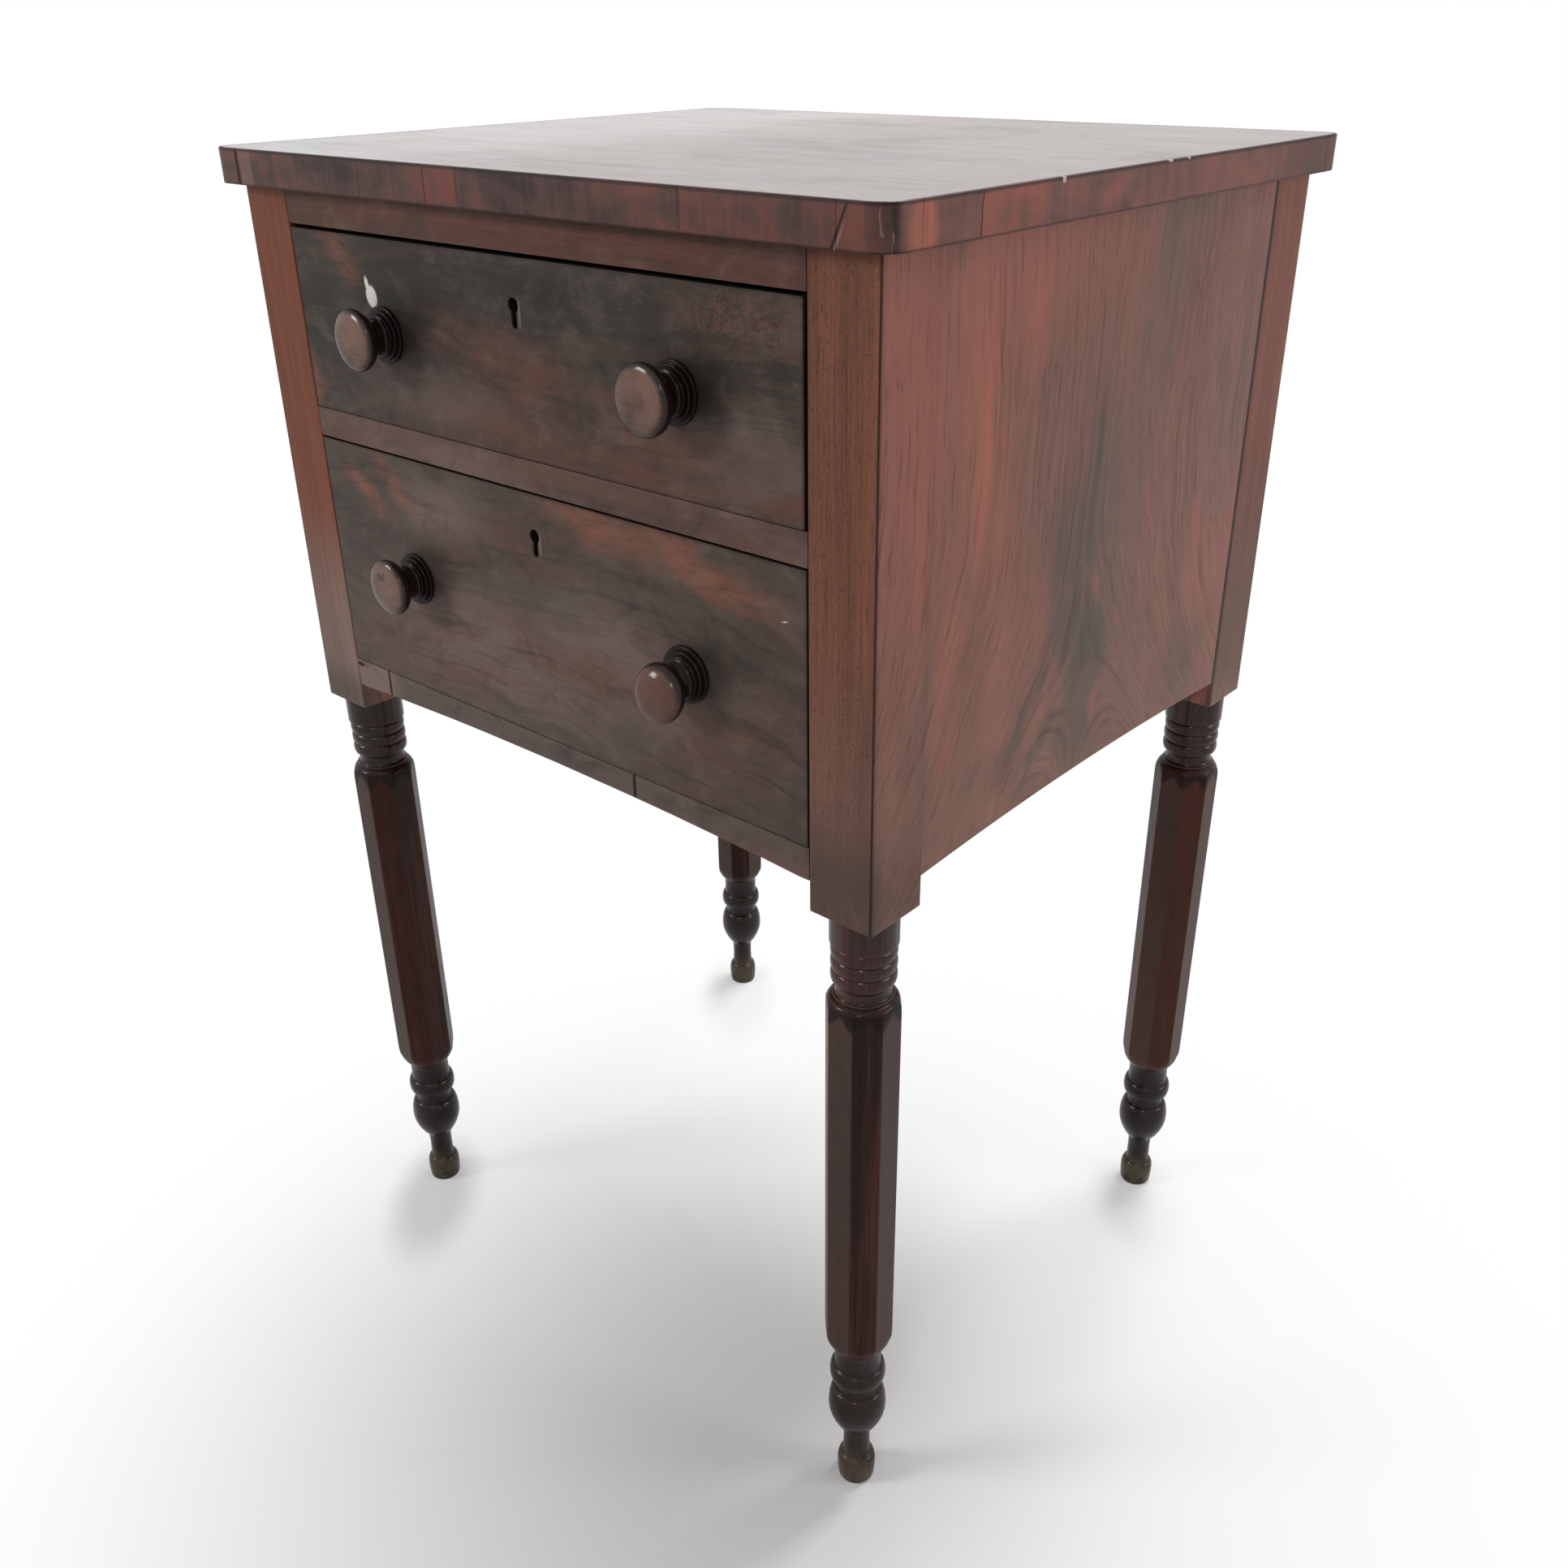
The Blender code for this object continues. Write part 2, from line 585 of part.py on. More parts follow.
def bolt_slot(shop, rail, name, bottom, gap):
    """Cuts the slot in a rail's underside that takes a lock's bolt."""
    x = BOLT_WIDTH / 2 + BOLT_GAP
    y = bolt_middle()
    half = BOLT_THICKNESS / 2 + BOLT_GAP
    top = bottom + BOLT_THROW - gap - LOCK_EDGE_DROP + 2 * BOLT_GAP
    slot = shop.box(name + "_bolt_slot", (-x, y - half, bottom - OVERCUT), (x, y + half, top))
    shop.cut(rail, slot)


def make_rails(shop):
    """The three front rails: dovetailed at the top, tenoned at the middle and the bottom."""
    top = shop.prism("top_rail", [dovetailed_outline()], "Z", TOP_RAIL_BOTTOM, CASE_TOP, "case_mahogany")
    groove_rail(shop, top, "top_rail", CASE_TOP)
    bolt_slot(shop, top, "top_rail", TOP_RAIL_BOTTOM, UPPER_TOP_GAP)

    middle = tenoned_rail(shop, "middle_rail", MIDDLE_RAIL_BOTTOM, MIDDLE_RAIL_TOP)
    bolt_slot(shop, middle, "middle_rail", MIDDLE_RAIL_BOTTOM, LOWER_TOP_GAP)

    bottom = tenoned_rail(shop, "bottom_rail", SKIRT_Z, BOTTOM_RAIL_TOP)
    x = INNER_X - OVERCUT
    waste = [(-x, SKIRT_Z - OVERCUT), (x, SKIRT_Z - OVERCUT), (x, SKIRT_Z - GLUE_GAP)]
    waste += skirt_arch(0.0, x)
    waste.append((-x, SKIRT_Z - GLUE_GAP))
    shop.cut(bottom, shop.prism("bottom_rail_arch", [waste], "Y", FRONT_Y - OVERCUT, RAIL_BACK_Y + OVERCUT))


def make_runners(shop):
    """Runners and guides under each drawer, and kickers over the upper one."""
    front = RAIL_BACK_Y + GLUE_GAP
    rear = REAR_POST_Y - GLUE_GAP
    inner = INNER_X - RUNNER_REACH
    outer = PANEL_INNER_X - GLUE_GAP
    for name, top, height in (
        ("lower_runner", BOTTOM_RAIL_TOP, RUNNER_HEIGHT),
        ("upper_runner", MIDDLE_RAIL_TOP, RUNNER_HEIGHT),
        ("kicker", CASE_TOP, TOP_RAIL_HEIGHT),
    ):
        tongue_top = top - RUNNER_TONGUE_DEPTH
        tongue_low = tongue_top - RUNNER_TONGUE_THICKNESS
        outline = [
            (rear, top),
            (front, top),
            (front, tongue_top),
            (front - RUNNER_TONGUE_LENGTH, tongue_top),
            (front - RUNNER_TONGUE_LENGTH, tongue_low),
            (front, tongue_low),
            (front, top - height),
            (rear, top - height),
        ]
        for side, sign in SIDES:
            reach = sorted((sign * inner, sign * outer))
            strip = shop.prism(name + "_" + side, [outline], "X", reach[0], reach[1], "secondary_wood")
            if name == "kicker":
                drill_kicker(shop, strip, side)
                continue
            low = top + GLUE_GAP
            reach = sorted((sign * (INNER_X + GUIDE_SETBACK), sign * outer))
            guide = name.replace("runner", "guide") + "_" + side
            high = (reach[1], rear, low + GUIDE_HEIGHT)
            shop.box(guide, (reach[0], front, low), high, "secondary_wood")


def screw_places():
    """Name, x and y of each screw that holds the top to a kicker."""
    x = (INNER_X - RUNNER_REACH + PANEL_INNER_X) / 2
    middle = (RAIL_BACK_Y + REAR_POST_Y) / 2
    places = []
    for side, sign in SIDES:
        for end, step in (("front", -1), ("rear", 1)):
            places.append((end + "_" + side, sign * x, middle + step * SCREW_SPACING / 2))
    return places


def cylinder(shop, name, radius, x, y, low, high):
    """An upright round cutter."""
    profile = [(0.0, high), (radius, high), (radius, low), (0.0, low)]
    return shop.turned(name, profile, 12, location=(x, y, 0))


def drill_kicker(shop, kicker, side):
    """Cuts a kicker's clearance holes and the recesses for the screw heads."""
    bottom = CASE_TOP - TOP_RAIL_HEIGHT
    for name, x, y in screw_places():
        if not name.endswith(side):
            continue
        seat = bottom + SCREW_RECESS + SCREW_HEAD_HEIGHT + GLUE_GAP
        head = SCREW_HEAD_RADIUS + GLUE_GAP
        shank = SCREW_SHANK_RADIUS + GLUE_GAP
        profile = [
            (0.0, CASE_TOP + OVERCUT),
            (shank, CASE_TOP + OVERCUT),
            (shank, seat),
            (head, seat),
            (head, bottom - OVERCUT),
            (0.0, bottom - OVERCUT),
        ]
        shop.cut(kicker, shop.turned("kicker_hole_" + name, profile, 12, location=(x, y, 0)))


def make_top(shop):
    """The top board, the veneer bands round its edge and the screws that hold it."""
    x = OUTER_X + TOP_OVERHANG
    y = CASE_DEPTH / 2 + TOP_OVERHANG
    inset = BAND_THICKNESS + GLUE_GAP
    board = rounded_rectangle(
        x - inset, y - inset, TOP_CORNER_RADIUS - inset, CORNER_STEPS, (0, CASE_SHIFT)
    )
    top = shop.prism("top_board", [board], "Z", TOP_UNDERSIDE, TABLE_HEIGHT, "top_mahogany")

    bottom = CASE_TOP - TOP_RAIL_HEIGHT + SCREW_RECESS
    for name, screw_x, screw_y in screw_places():
        tip = bottom + SCREW_LENGTH
        neck = bottom + SCREW_HEAD_HEIGHT
        profile = [
            (0.0, tip),
            (SCREW_SHANK_RADIUS, tip - SCREW_POINT),
            (SCREW_SHANK_RADIUS, neck),
            (SCREW_HEAD_RADIUS, neck),
            (SCREW_HEAD_RADIUS, bottom),
            (0.0, bottom),
        ]
        shop.turned("top_screw_" + name, profile, 12, "dark_iron", (screw_x, screw_y, 0))
        hole = SCREW_SHANK_RADIUS + GLUE_GAP
        depth = tip + GLUE_GAP
        low = TOP_UNDERSIDE - OVERCUT
        shop.cut(top, cylinder(shop, "top_hole_" + name, hole, screw_x, screw_y, low, depth))

    def band(name, loop):
        shop.prism("top_band_" + name, [loop], "Z", TOP_UNDERSIDE, TABLE_HEIGHT, "edge_band")

    end_x = x - CORNER_BAND_FRONT - GLUE_GAP / 2
    end_y = y - CORNER_BAND_SIDE - GLUE_GAP / 2
    front = CASE_SHIFT - y
    rear = CASE_SHIFT + y
    band("front", rectangle(-end_x, end_x, front, front + BAND_THICKNESS))
    band("back", rectangle(-end_x, end_x, rear - BAND_THICKNESS, rear))
    band("left", rectangle(-x, -x + BAND_THICKNESS, CASE_SHIFT - end_y, CASE_SHIFT + end_y))
    band("right", rectangle(x - BAND_THICKNESS, x, CASE_SHIFT - end_y, CASE_SHIFT + end_y))
    start_x = end_x + GLUE_GAP
    start_y = end_y + GLUE_GAP
    middle = (x - TOP_CORNER_RADIUS, y - TOP_CORNER_RADIUS)
    inside = TOP_CORNER_RADIUS - BAND_THICKNESS
    corner = [(x - BAND_THICKNESS, start_y), (x, start_y)]
    corner += arc(middle, (TOP_CORNER_RADIUS, TOP_CORNER_RADIUS), 0, 90, CORNER_STEPS)
    corner += [(start_x, y), (start_x, y - BAND_THICKNESS)]
    corner += arc(middle, (inside, inside), 90, 0, CORNER_STEPS)
    for side, sign in SIDES:
        for end, turn in (("front", -1), ("rear", 1)):
            loop = [(sign * u, CASE_SHIFT + turn * v) for u, v in corner]
            band("corner_" + end + "_" + side, loop)


def make_stops(shop, prefix, rail_top):
    """Two blocks on a rail that stop the drawer with its front flush."""
    front = FRONT_INSIDE_Y + RUN_GAP
    low = rail_top + GLUE_GAP
    for side, sign in SIDES:
        middle = sign * STOP_SPACING / 2
        corner = (middle - STOP_WIDTH / 2, front, low)
        high = (middle + STOP_WIDTH / 2, front + STOP_DEPTH, low + STOP_HEIGHT)
        shop.box(prefix + "_stop_" + side, corner, high, "secondary_wood")


def knob_profile():
    """A turned knob along Z, from the middle of its face down to the end of its tenon."""
    head = KNOB_PROJECTION - KNOB_DOME
    underside = head - KNOB_HEAD_EDGE
    points = arc((0.0, head), (KNOB_HEAD_RADIUS, KNOB_DOME), 90, 0, 5)
    points += arc(
        (KNOB_HEAD_RADIUS - KNOB_HEAD_EDGE / 2, head - KNOB_HEAD_EDGE / 2),
        (KNOB_HEAD_EDGE / 2, KNOB_HEAD_EDGE / 2), 30, -90, 4,
    )[1:]
    collar = KNOB_BASE_HEIGHT + KNOB_STEP_HEIGHT + KNOB_COLLAR_HEIGHT
    neck = collar + KNOB_NECK_LENGTH
    points += bend(points[-1], (KNOB_NECK_RADIUS, underside), (KNOB_NECK_RADIUS, neck), 3)
    points += bend(points[-1], (KNOB_NECK_RADIUS, collar), (KNOB_COLLAR_RADIUS, collar), 2)
    step = KNOB_BASE_HEIGHT + KNOB_STEP_HEIGHT
    points.append((KNOB_COLLAR_RADIUS, step))
    points.append((KNOB_STEP_RADIUS, step))
    points.append((KNOB_STEP_RADIUS, KNOB_BASE_HEIGHT))
    points.append((KNOB_BASE_RADIUS, KNOB_BASE_HEIGHT))
    points.append((KNOB_BASE_RADIUS, GLUE_GAP))
    points.append((KNOB_TENON_RADIUS, GLUE_GAP))
    points.append((KNOB_TENON_RADIUS, -FRONT_THICKNESS))
    points.append((0.0, -FRONT_THICKNESS))
    return points


def bolt_middle():
    """The y of a lock bolt's middle plane: the middle of the lock's depth."""
    return FRONT_INSIDE_Y - LOCK_DEPTH / 2


def keyhole_outline(middle):
    """A round hole over a narrower slot with a round foot."""
    top = middle + KEYHOLE_HEIGHT / 2 - KEYHOLE_RADIUS
    half = KEYHOLE_SLOT / 2
    foot = middle - KEYHOLE_HEIGHT / 2 + half
    spread = math.degrees(math.asin(half / KEYHOLE_RADIUS))
    points = arc((0.0, top), (KEYHOLE_RADIUS, KEYHOLE_RADIUS), -90 + spread, 270 - spread, 12)
    points += arc((0.0, foot), (half, half), 180, 360, 4)
    return points


def make_lock(shop, prefix, top):
    """A half-mortise lock: its case with a plate behind, and the bolt that slides up out of it."""
    edge = top - LOCK_EDGE_DROP
    half = LOCK_WIDTH / 2
    front = FRONT_INSIDE_Y - LOCK_DEPTH
    low = (-half, front, edge - LOCK_HEIGHT)
    high = (half, FRONT_INSIDE_Y + GLUE_GAP + LOCK_PLATE_THICKNESS / 2, edge)
    case = shop.box(prefix + "_lock_case", low, high, "lock_brass")
    margin = half + LOCK_PLATE_MARGIN
    low = (-margin, FRONT_INSIDE_Y + GLUE_GAP, edge - LOCK_HEIGHT - LOCK_PLATE_MARGIN)
    high = (margin, FRONT_INSIDE_Y + GLUE_GAP + LOCK_PLATE_THICKNESS, edge - GLUE_GAP)
    shop.join(case, shop.box(prefix + "_lock_plate", low, high))

    wide = BOLT_WIDTH / 2
    thick = BOLT_THICKNESS / 2
    middle = bolt_middle()
    low = (-wide - BOLT_GAP, middle - thick - BOLT_GAP, edge - BOLT_HEIGHT - BOLT_GAP)
    high = (wide + BOLT_GAP, middle + thick + BOLT_GAP, edge + OVERCUT)
    shop.cut(case, shop.box(prefix + "_lock_cavity", low, high))

    key_z = top - KEYHOLE_DROP + KEYHOLE_HEIGHT / 2 - KEYHOLE_RADIUS
    ring = [
        (KEY_PIN_RADIUS, OVERCUT),
        (KEYHOLE_RADIUS, OVERCUT),
        (KEYHOLE_RADIUS, -KEY_HOLE_DEPTH),
        (KEY_PIN_RADIUS, -KEY_HOLE_DEPTH),
    ]
    hole = shop.turned(prefix + "_lock_keyhole", ring, 12, location=(0, front, key_z), closed=True)
    hole.rotation_euler.x = math.pi / 2
    shop.cut(case, hole)

    low = (-wide, middle - thick, edge - BOLT_HEIGHT)
    bolt = shop.box(prefix + "_lock_bolt", low, (wide, middle + thick, edge), "dark_iron")
    return case, bolt


def tail_loop(y_root, y_tip, middle, half, grow):
    """A dovetail in side view, half high at its root and wider by grow at its tip."""
    return [
        (y_root, middle - half),
        (y_tip, middle - half - grow),
        (y_tip, middle + half + grow),
        (y_root, middle + half),
    ]


def make_drawer(shop, prefix, bottom, top, gap_right):
    """One dovetailed drawer with its knobs and lock, parented to an empty on its slide."""
    left = -INNER_X + DRAWER_GAP_LEFT
    right = INNER_X - gap_right
    side_top = top - SIDE_DROP
    count = max(2, round((side_top - bottom) / TAIL_PITCH))
    pitch = (side_top - bottom) / count
    tail_half = (pitch - PIN_WIDTH) / 2
    tail_tip = FRONT_INSIDE_Y - TAIL_LENGTH
    middles = [bottom + (i + 0.5) * pitch for i in range(count)]
    groove_low = bottom + BOTTOM_RAISE
    groove_high = groove_low + BOTTOM_THICKNESS + 2 * GLUE_GAP
    back_low = groove_high
    back_top = side_top - BACK_DROP
    back_y = DRAWER_END_Y - BACK_THICKNESS
    pin_pitch = (back_top - back_low) / (count - 1)
    pins = [back_low + (i + 0.5) * pin_pitch for i in range(count - 1)]
    pin_half = BACK_PIN_WIDTH / 2
    pin_grow = BACK_THICKNESS * TAIL_SLOPE

    low = (left, FRONT_Y, bottom)
    front = shop.box(prefix + "_drawer_front", low, (right, FRONT_INSIDE_Y, top), "drawer_veneer")
    pieces = [front]
    for side, sign in SIDES:
        outer = right if sign > 0 else left
        inner = outer - sign * SIDE_THICKNESS
        reach = sorted((inner, outer))

        # Outline from the top front corner down the tails, then back and up past the pin notches
        outline = []
        for middle in reversed(middles):
            tail = tail_loop(FRONT_INSIDE_Y + GLUE_GAP, tail_tip, middle, tail_half, TAIL_LENGTH * TAIL_SLOPE)
            outline += reversed(tail)
        outline.append((FRONT_INSIDE_Y + GLUE_GAP, bottom))
        outline.append((DRAWER_END_Y, bottom))
        for middle in pins:
            narrow = pin_half + GLUE_GAP
            wide = pin_half + pin_grow + GLUE_GAP
            root = back_y - GLUE_GAP
            outline += [
                (DRAWER_END_Y, middle - narrow),
                (root, middle - wide),
                (root, middle + wide),
                (DRAWER_END_Y, middle + narrow),
            ]
        outline.append((DRAWER_END_Y, side_top))
        outline.append((FRONT_INSIDE_Y + GLUE_GAP, side_top))
        name = prefix + "_drawer_side_" + side
        board = shop.prism(name, [outline], "X", reach[0], reach[1], "secondary_wood")
        cut = sorted((inner - sign * OVERCUT, inner + sign * GROOVE_DEPTH))
        low = (cut[0], tail_tip - OVERCUT, groove_low)
        high = (cut[1], DRAWER_END_Y + OVERCUT, groove_high)
        shop.cut(board, shop.box(name + "_groove", low, high))
        pieces.append(board)

        sockets = []
        for middle in middles:
            root = FRONT_INSIDE_Y + OVERCUT
            tip = tail_tip - GLUE_GAP
            half = tail_half + GLUE_GAP - OVERCUT * TAIL_SLOPE
            sockets.append(tail_loop(root, tip, middle, half, (root - tip) * TAIL_SLOPE))
        cut = sorted((inner - sign * GLUE_GAP, outer + sign * OVERCUT))
        shop.cut(front, shop.prism(name + "_sockets", sockets, "X", cut[0], cut[1]))

    inner_left = left + SIDE_THICKNESS
    inner_right = right - SIDE_THICKNESS
    depth = GROOVE_DEPTH - GLUE_GAP
    low = (inner_left - GROOVE_DEPTH, FRONT_INSIDE_Y - GROOVE_DEPTH, groove_low)
    high = (inner_right + GROOVE_DEPTH, FRONT_INSIDE_Y + OVERCUT, groove_high)
    shop.cut(front, shop.box(prefix + "_drawer_front_groove", low, high))

    low = (inner_left + GLUE_GAP, back_y, back_low + GLUE_GAP)
    high = (inner_right - GLUE_GAP, DRAWER_END_Y, back_top)
    back = shop.box(prefix + "_drawer_back", low, high, "secondary_wood")
    skin = GLUE_GAP / 2
    loops = [
        tail_loop(DRAWER_END_Y - skin, back_y + skin, middle, pin_half, pin_grow) for middle in pins
    ]
    shop.join(back, shop.prism(prefix + "_drawer_back_pins", loops, "X", left, right))

    low = (inner_left - depth, FRONT_INSIDE_Y - depth, groove_low + GLUE_GAP)
    high = (inner_right + depth, DRAWER_END_Y, groove_low + GLUE_GAP + BOTTOM_THICKNESS)
    pieces += [back, shop.box(prefix + "_drawer_bottom", low, high, "secondary_wood")]

    middle_z = (bottom + top) / 2
    for side, sign in SIDES:
        place = (sign * KNOB_SPACING / 2, FRONT_Y, middle_z)
        knob = shop.turned(prefix + "_knob_" + side, knob_profile(), KNOB_STEPS, "knob_mahogany", place)
        knob.rotation_euler.x = math.pi / 2
        pieces.append(knob)
        radius = KNOB_TENON_RADIUS + GLUE_GAP
        end = -FRONT_THICKNESS - OVERCUT
        bore = [(0.0, OVERCUT), (radius, OVERCUT), (radius, end), (0.0, end)]
        hole = shop.turned(prefix + "_knob_hole_" + side, bore, KNOB_STEPS, location=place)
        hole.rotation_euler.x = math.pi / 2
        shop.cut(front, hole)

    half = LOCK_WIDTH / 2 + GLUE_GAP
    recess_y = FRONT_INSIDE_Y - LOCK_DEPTH - GLUE_GAP
    low = (-half, recess_y, top - LOCK_EDGE_DROP - LOCK_HEIGHT - GLUE_GAP)
    high = (half, FRONT_INSIDE_Y + OVERCUT, top + OVERCUT)
    shop.cut(front, shop.box(prefix + "_lock_recess", low, high))
    keyhole = keyhole_outline(top - KEYHOLE_DROP)
    cutter = shop.prism(prefix + "_keyhole", [keyhole], "Y", FRONT_Y - OVERCUT, recess_y + OVERCUT)
    shop.cut(front, cutter)
    pieces += make_lock(shop, prefix, top)

    slide = shop.empty(prefix + "_drawer_slide", (0, FRONT_Y, middle_z))
    shop.carry(slide, pieces)


def main():
    clear_scene()
    shop = Workshop()
    make_legs(shop)
    make_panels(shop)
    make_rails(shop)
    make_runners(shop)
    make_top(shop)
    make_stops(shop, "upper", MIDDLE_RAIL_TOP)
    make_stops(shop, "lower", BOTTOM_RAIL_TOP)
    make_drawer(shop, "upper", UPPER_BOTTOM, UPPER_TOP, UPPER_GAP_RIGHT)
    make_drawer(shop, "lower", LOWER_BOTTOM, LOWER_TOP, LOWER_GAP_RIGHT)
    print("table height", round(TABLE_HEIGHT, 4))


main()
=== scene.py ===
"""Finished surfaces, finishes, stage and camera for the two-drawer work table.

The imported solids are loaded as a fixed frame, and each piece made here stands for one of them.
"""

import math
from collections import namedtuple
from functools import reduce
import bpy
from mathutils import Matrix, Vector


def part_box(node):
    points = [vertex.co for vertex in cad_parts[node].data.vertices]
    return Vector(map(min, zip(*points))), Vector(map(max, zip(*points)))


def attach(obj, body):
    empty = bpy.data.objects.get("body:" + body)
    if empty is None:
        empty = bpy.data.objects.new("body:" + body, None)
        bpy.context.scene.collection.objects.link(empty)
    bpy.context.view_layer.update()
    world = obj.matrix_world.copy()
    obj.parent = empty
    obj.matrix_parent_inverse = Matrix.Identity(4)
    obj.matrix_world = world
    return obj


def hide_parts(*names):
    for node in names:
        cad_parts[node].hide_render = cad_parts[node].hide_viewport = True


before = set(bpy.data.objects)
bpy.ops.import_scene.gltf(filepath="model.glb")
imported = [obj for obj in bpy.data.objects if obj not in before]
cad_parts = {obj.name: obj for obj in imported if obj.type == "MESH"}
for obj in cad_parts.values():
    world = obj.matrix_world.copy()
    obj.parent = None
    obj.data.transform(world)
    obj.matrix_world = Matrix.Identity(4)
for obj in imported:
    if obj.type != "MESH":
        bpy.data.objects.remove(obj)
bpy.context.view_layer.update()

from types import SimpleNamespace

import bmesh
import bpy
import numpy as np
from bpy.props import FloatProperty, FloatVectorProperty, IntProperty, PointerProperty
from bpy.types import Operator, Panel, PropertyGroup
from mathutils import Matrix, Vector

bl_info = {
    "name": "Work Table",
    "version": (1, 0, 0),
    "blender": (4, 5, 0),
    "location": "View3D > Sidebar > Work Table",
    "description": "Makes the finished pieces of a two-drawer work table over its packed solids",
    "category": "Object",
}

SIDES = ("left", "right")
ENDS = ("front", "rear")
DRAWERS = ("upper", "lower")
SIGN = {"left": -1, "right": 1, "front": -1, "rear": 1}


def middle(node):
    """The middle of a solid's box."""
    low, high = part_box(node)
    return (low + high) / 2


def at_corners(stem):
    """The four like pieces at the table's corners, as (name, end, side)."""
    return [("{}_{}_{}".format(stem, end, side), end, side) for end in ENDS for side in SIDES]


# Places on the table, read off the solids

POST_DROP = 0.017
POST_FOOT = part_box("side_panel_left")[0].z - POST_DROP
REAR_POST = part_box("leg_rear_right")[0].y
VENEER_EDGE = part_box("leg_front_right")[1].x - 0.0009
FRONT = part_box("upper_drawer_front")[0].y
LEG_X, REAR_LEG_Y = middle("leg_rear_right")[:2]
CASE_Y = (REAR_LEG_Y + middle("leg_front_right").y) / 2
KNOB_X = middle("upper_knob_right").x
UPPER_KNOB_Z = middle("upper_knob_right").z
LOWER_KNOB_Z = middle("lower_knob_right").z
BAND_LOW, BAND_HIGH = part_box("top_band_corner_front_right")

# Shifts that give the two drawers different figure
UPPER_FIGURE = (3.0, 0.0, 1.0)
LOWER_FIGURE = (0.0, 2.0, 4.0)

# Axes along which the grain of a board runs
ACROSS = 0
ALONG = 1
UPRIGHT = 2


# Sizes and colours

def label(key):
    """A property's name as it is shown: its key in plain words."""
    return key.replace("_", " ").capitalize()


def lengths(**rows):
    """Sizes in metres; each row is a description and a default."""
    return {
        key: FloatProperty(name=label(key), description=text, default=size, min=0.0, unit="LENGTH")
        for key, (text, size) in rows.items()
    }


def colours(**rows):
    """Colours; each row is a description and red, green and blue as a screen shows them, 0 to 255.

    The defaults are the same colours as scene light.
    """
    made = {}
    for key, (text, *screen) in rows.items():
        shares = np.array(screen) / 255
        light = np.where(shares > 0.04045, ((shares + 0.055) / 1.055) ** 2.4, shares / 12.92)
        made[key] = FloatVectorProperty(
            name=label(key), description=text, default=tuple(light), size=3, min=0.0, max=1.0, subtype="COLOR"
        )
    return made


class WorkTableLegSizes(PropertyGroup):
    """The turning of a leg, from the post down to the floor."""

    __annotations__ = lengths(
        post_arris=("Rounding of the posts' outer edges", 0.0009),
        post_crisp=("Rounding of the front posts' edge along the side panel", 0.00005),
        post_inside=("Rounding of the front posts' edge inside the case", 0.0004),
        post_beside=("Rounding of the front posts' edge beside the drawers", 0.0005),
        post_ease=("Rounding of the posts' upper end", 0.0004),
        post_knock=("Rounding of the posts' lower end", 0.0012),
        neck_radius=("Plain neck under the post", 0.0173),
        neck_length=("Height of the plain neck", 0.0175),
        ring_radius=("Crest of the three small rings", 0.0167),
        ring_root=("Radius between the small rings", 0.0154),
        ring_height=("Height of one small ring", 0.0073),
        cove_radius=("Narrowest place of the cove under the rings", 0.0140),
        cove_height=("Height of the cove", 0.0071),
        lip_radius=("Thin lip above the shaft", 0.0158),
        lip_height=("Height of the thin lip", 0.0012),
        lip_groove=("Groove under the lip", 0.0006),
        shoulder_height=("Rounded shoulder of the shaft", 0.0125),
        shaft_flats=("Width of the eight-sided shaft across its flats", 0.0366),
        shaft_waste=("What the turned blank stands over the eight arrises", 0.0007),
        shaft_taper=("Height over which the shaft draws in to the ankle", 0.0182),
        ankle_root=("Both ends of the narrow place over the ring", 0.0137),
        ankle_radius=("Narrowest place over the ring", 0.0131),
        ankle_height=("Height of the narrow place", 0.0145),
        ankle_ring_radius=("Crest of the ring over the urn", 0.0160),
        ankle_ring_height=("Height of the ring over the urn", 0.0121),
        urn_cove_root=("Both ends of the cove over the urn", 0.0128),
        urn_cove_radius=("Narrowest place of that cove", 0.0121),
        urn_cove_height=("Height of the cove over the urn", 0.0074),
        urn_radius=("Widest place of the urn", 0.0167),
        urn_upper=("Height of the urn's top", 0.0131),
        urn_lower=("Height of the urn's foot", 0.0208),
        waist_root=("Both ends of the stem over the foot", 0.0083),
        waist_radius=("Narrowest place of the stem", 0.0077),
        waist_height=("Height of the stem", 0.0213),
        foot_radius=("Widest place of the foot", 0.0112),
        foot_upper=("Foot above its widest place", 0.0067),
        foot_lower=("Foot below its widest place", 0.0120),
        foot_base=("Radius that stands on the floor", 0.0100),
    )
    ring_count: IntProperty(name="Ring count", description="Small rings under the neck", default=3, min=1)


class WorkTableKnobSizes(PropertyGroup):
    """The turning of a drawer knob, from its face back to its base."""

    __annotations__ = lengths(
        projection=("Face of the knob in front of the drawer", 0.0230),
        head_radius=("Widest place of the head", 0.0167),
        head_edge=("Thickness of the head's underside", 0.0042),
        dome=("Rise of the face over the widest place", 0.0046),
        neck_radius=("Narrow neck behind the head", 0.0088),
        neck_length=("Straight length of the neck", 0.0035),
        collar_radius=("Smallest bead of the base", 0.0112),
        collar_height=("Height of the smallest bead", 0.0016),
        step_radius=("Middle bead of the base", 0.0130),
        step_height=("Height of the middle bead", 0.0020),
        base_radius=("Round base against the drawer", 0.0146),
        base_height=("Height of the round base", 0.0022),
        base_gap=("Thin joint behind the round base", 0.0003),
        bead_depth=("Swell of the beads on the base", 0.0004),
        dimple_radius=("Reach of the dimple in a worn face", 0.0035),
        tenon_radius=("Peg through the drawer front", 0.0050),
    )


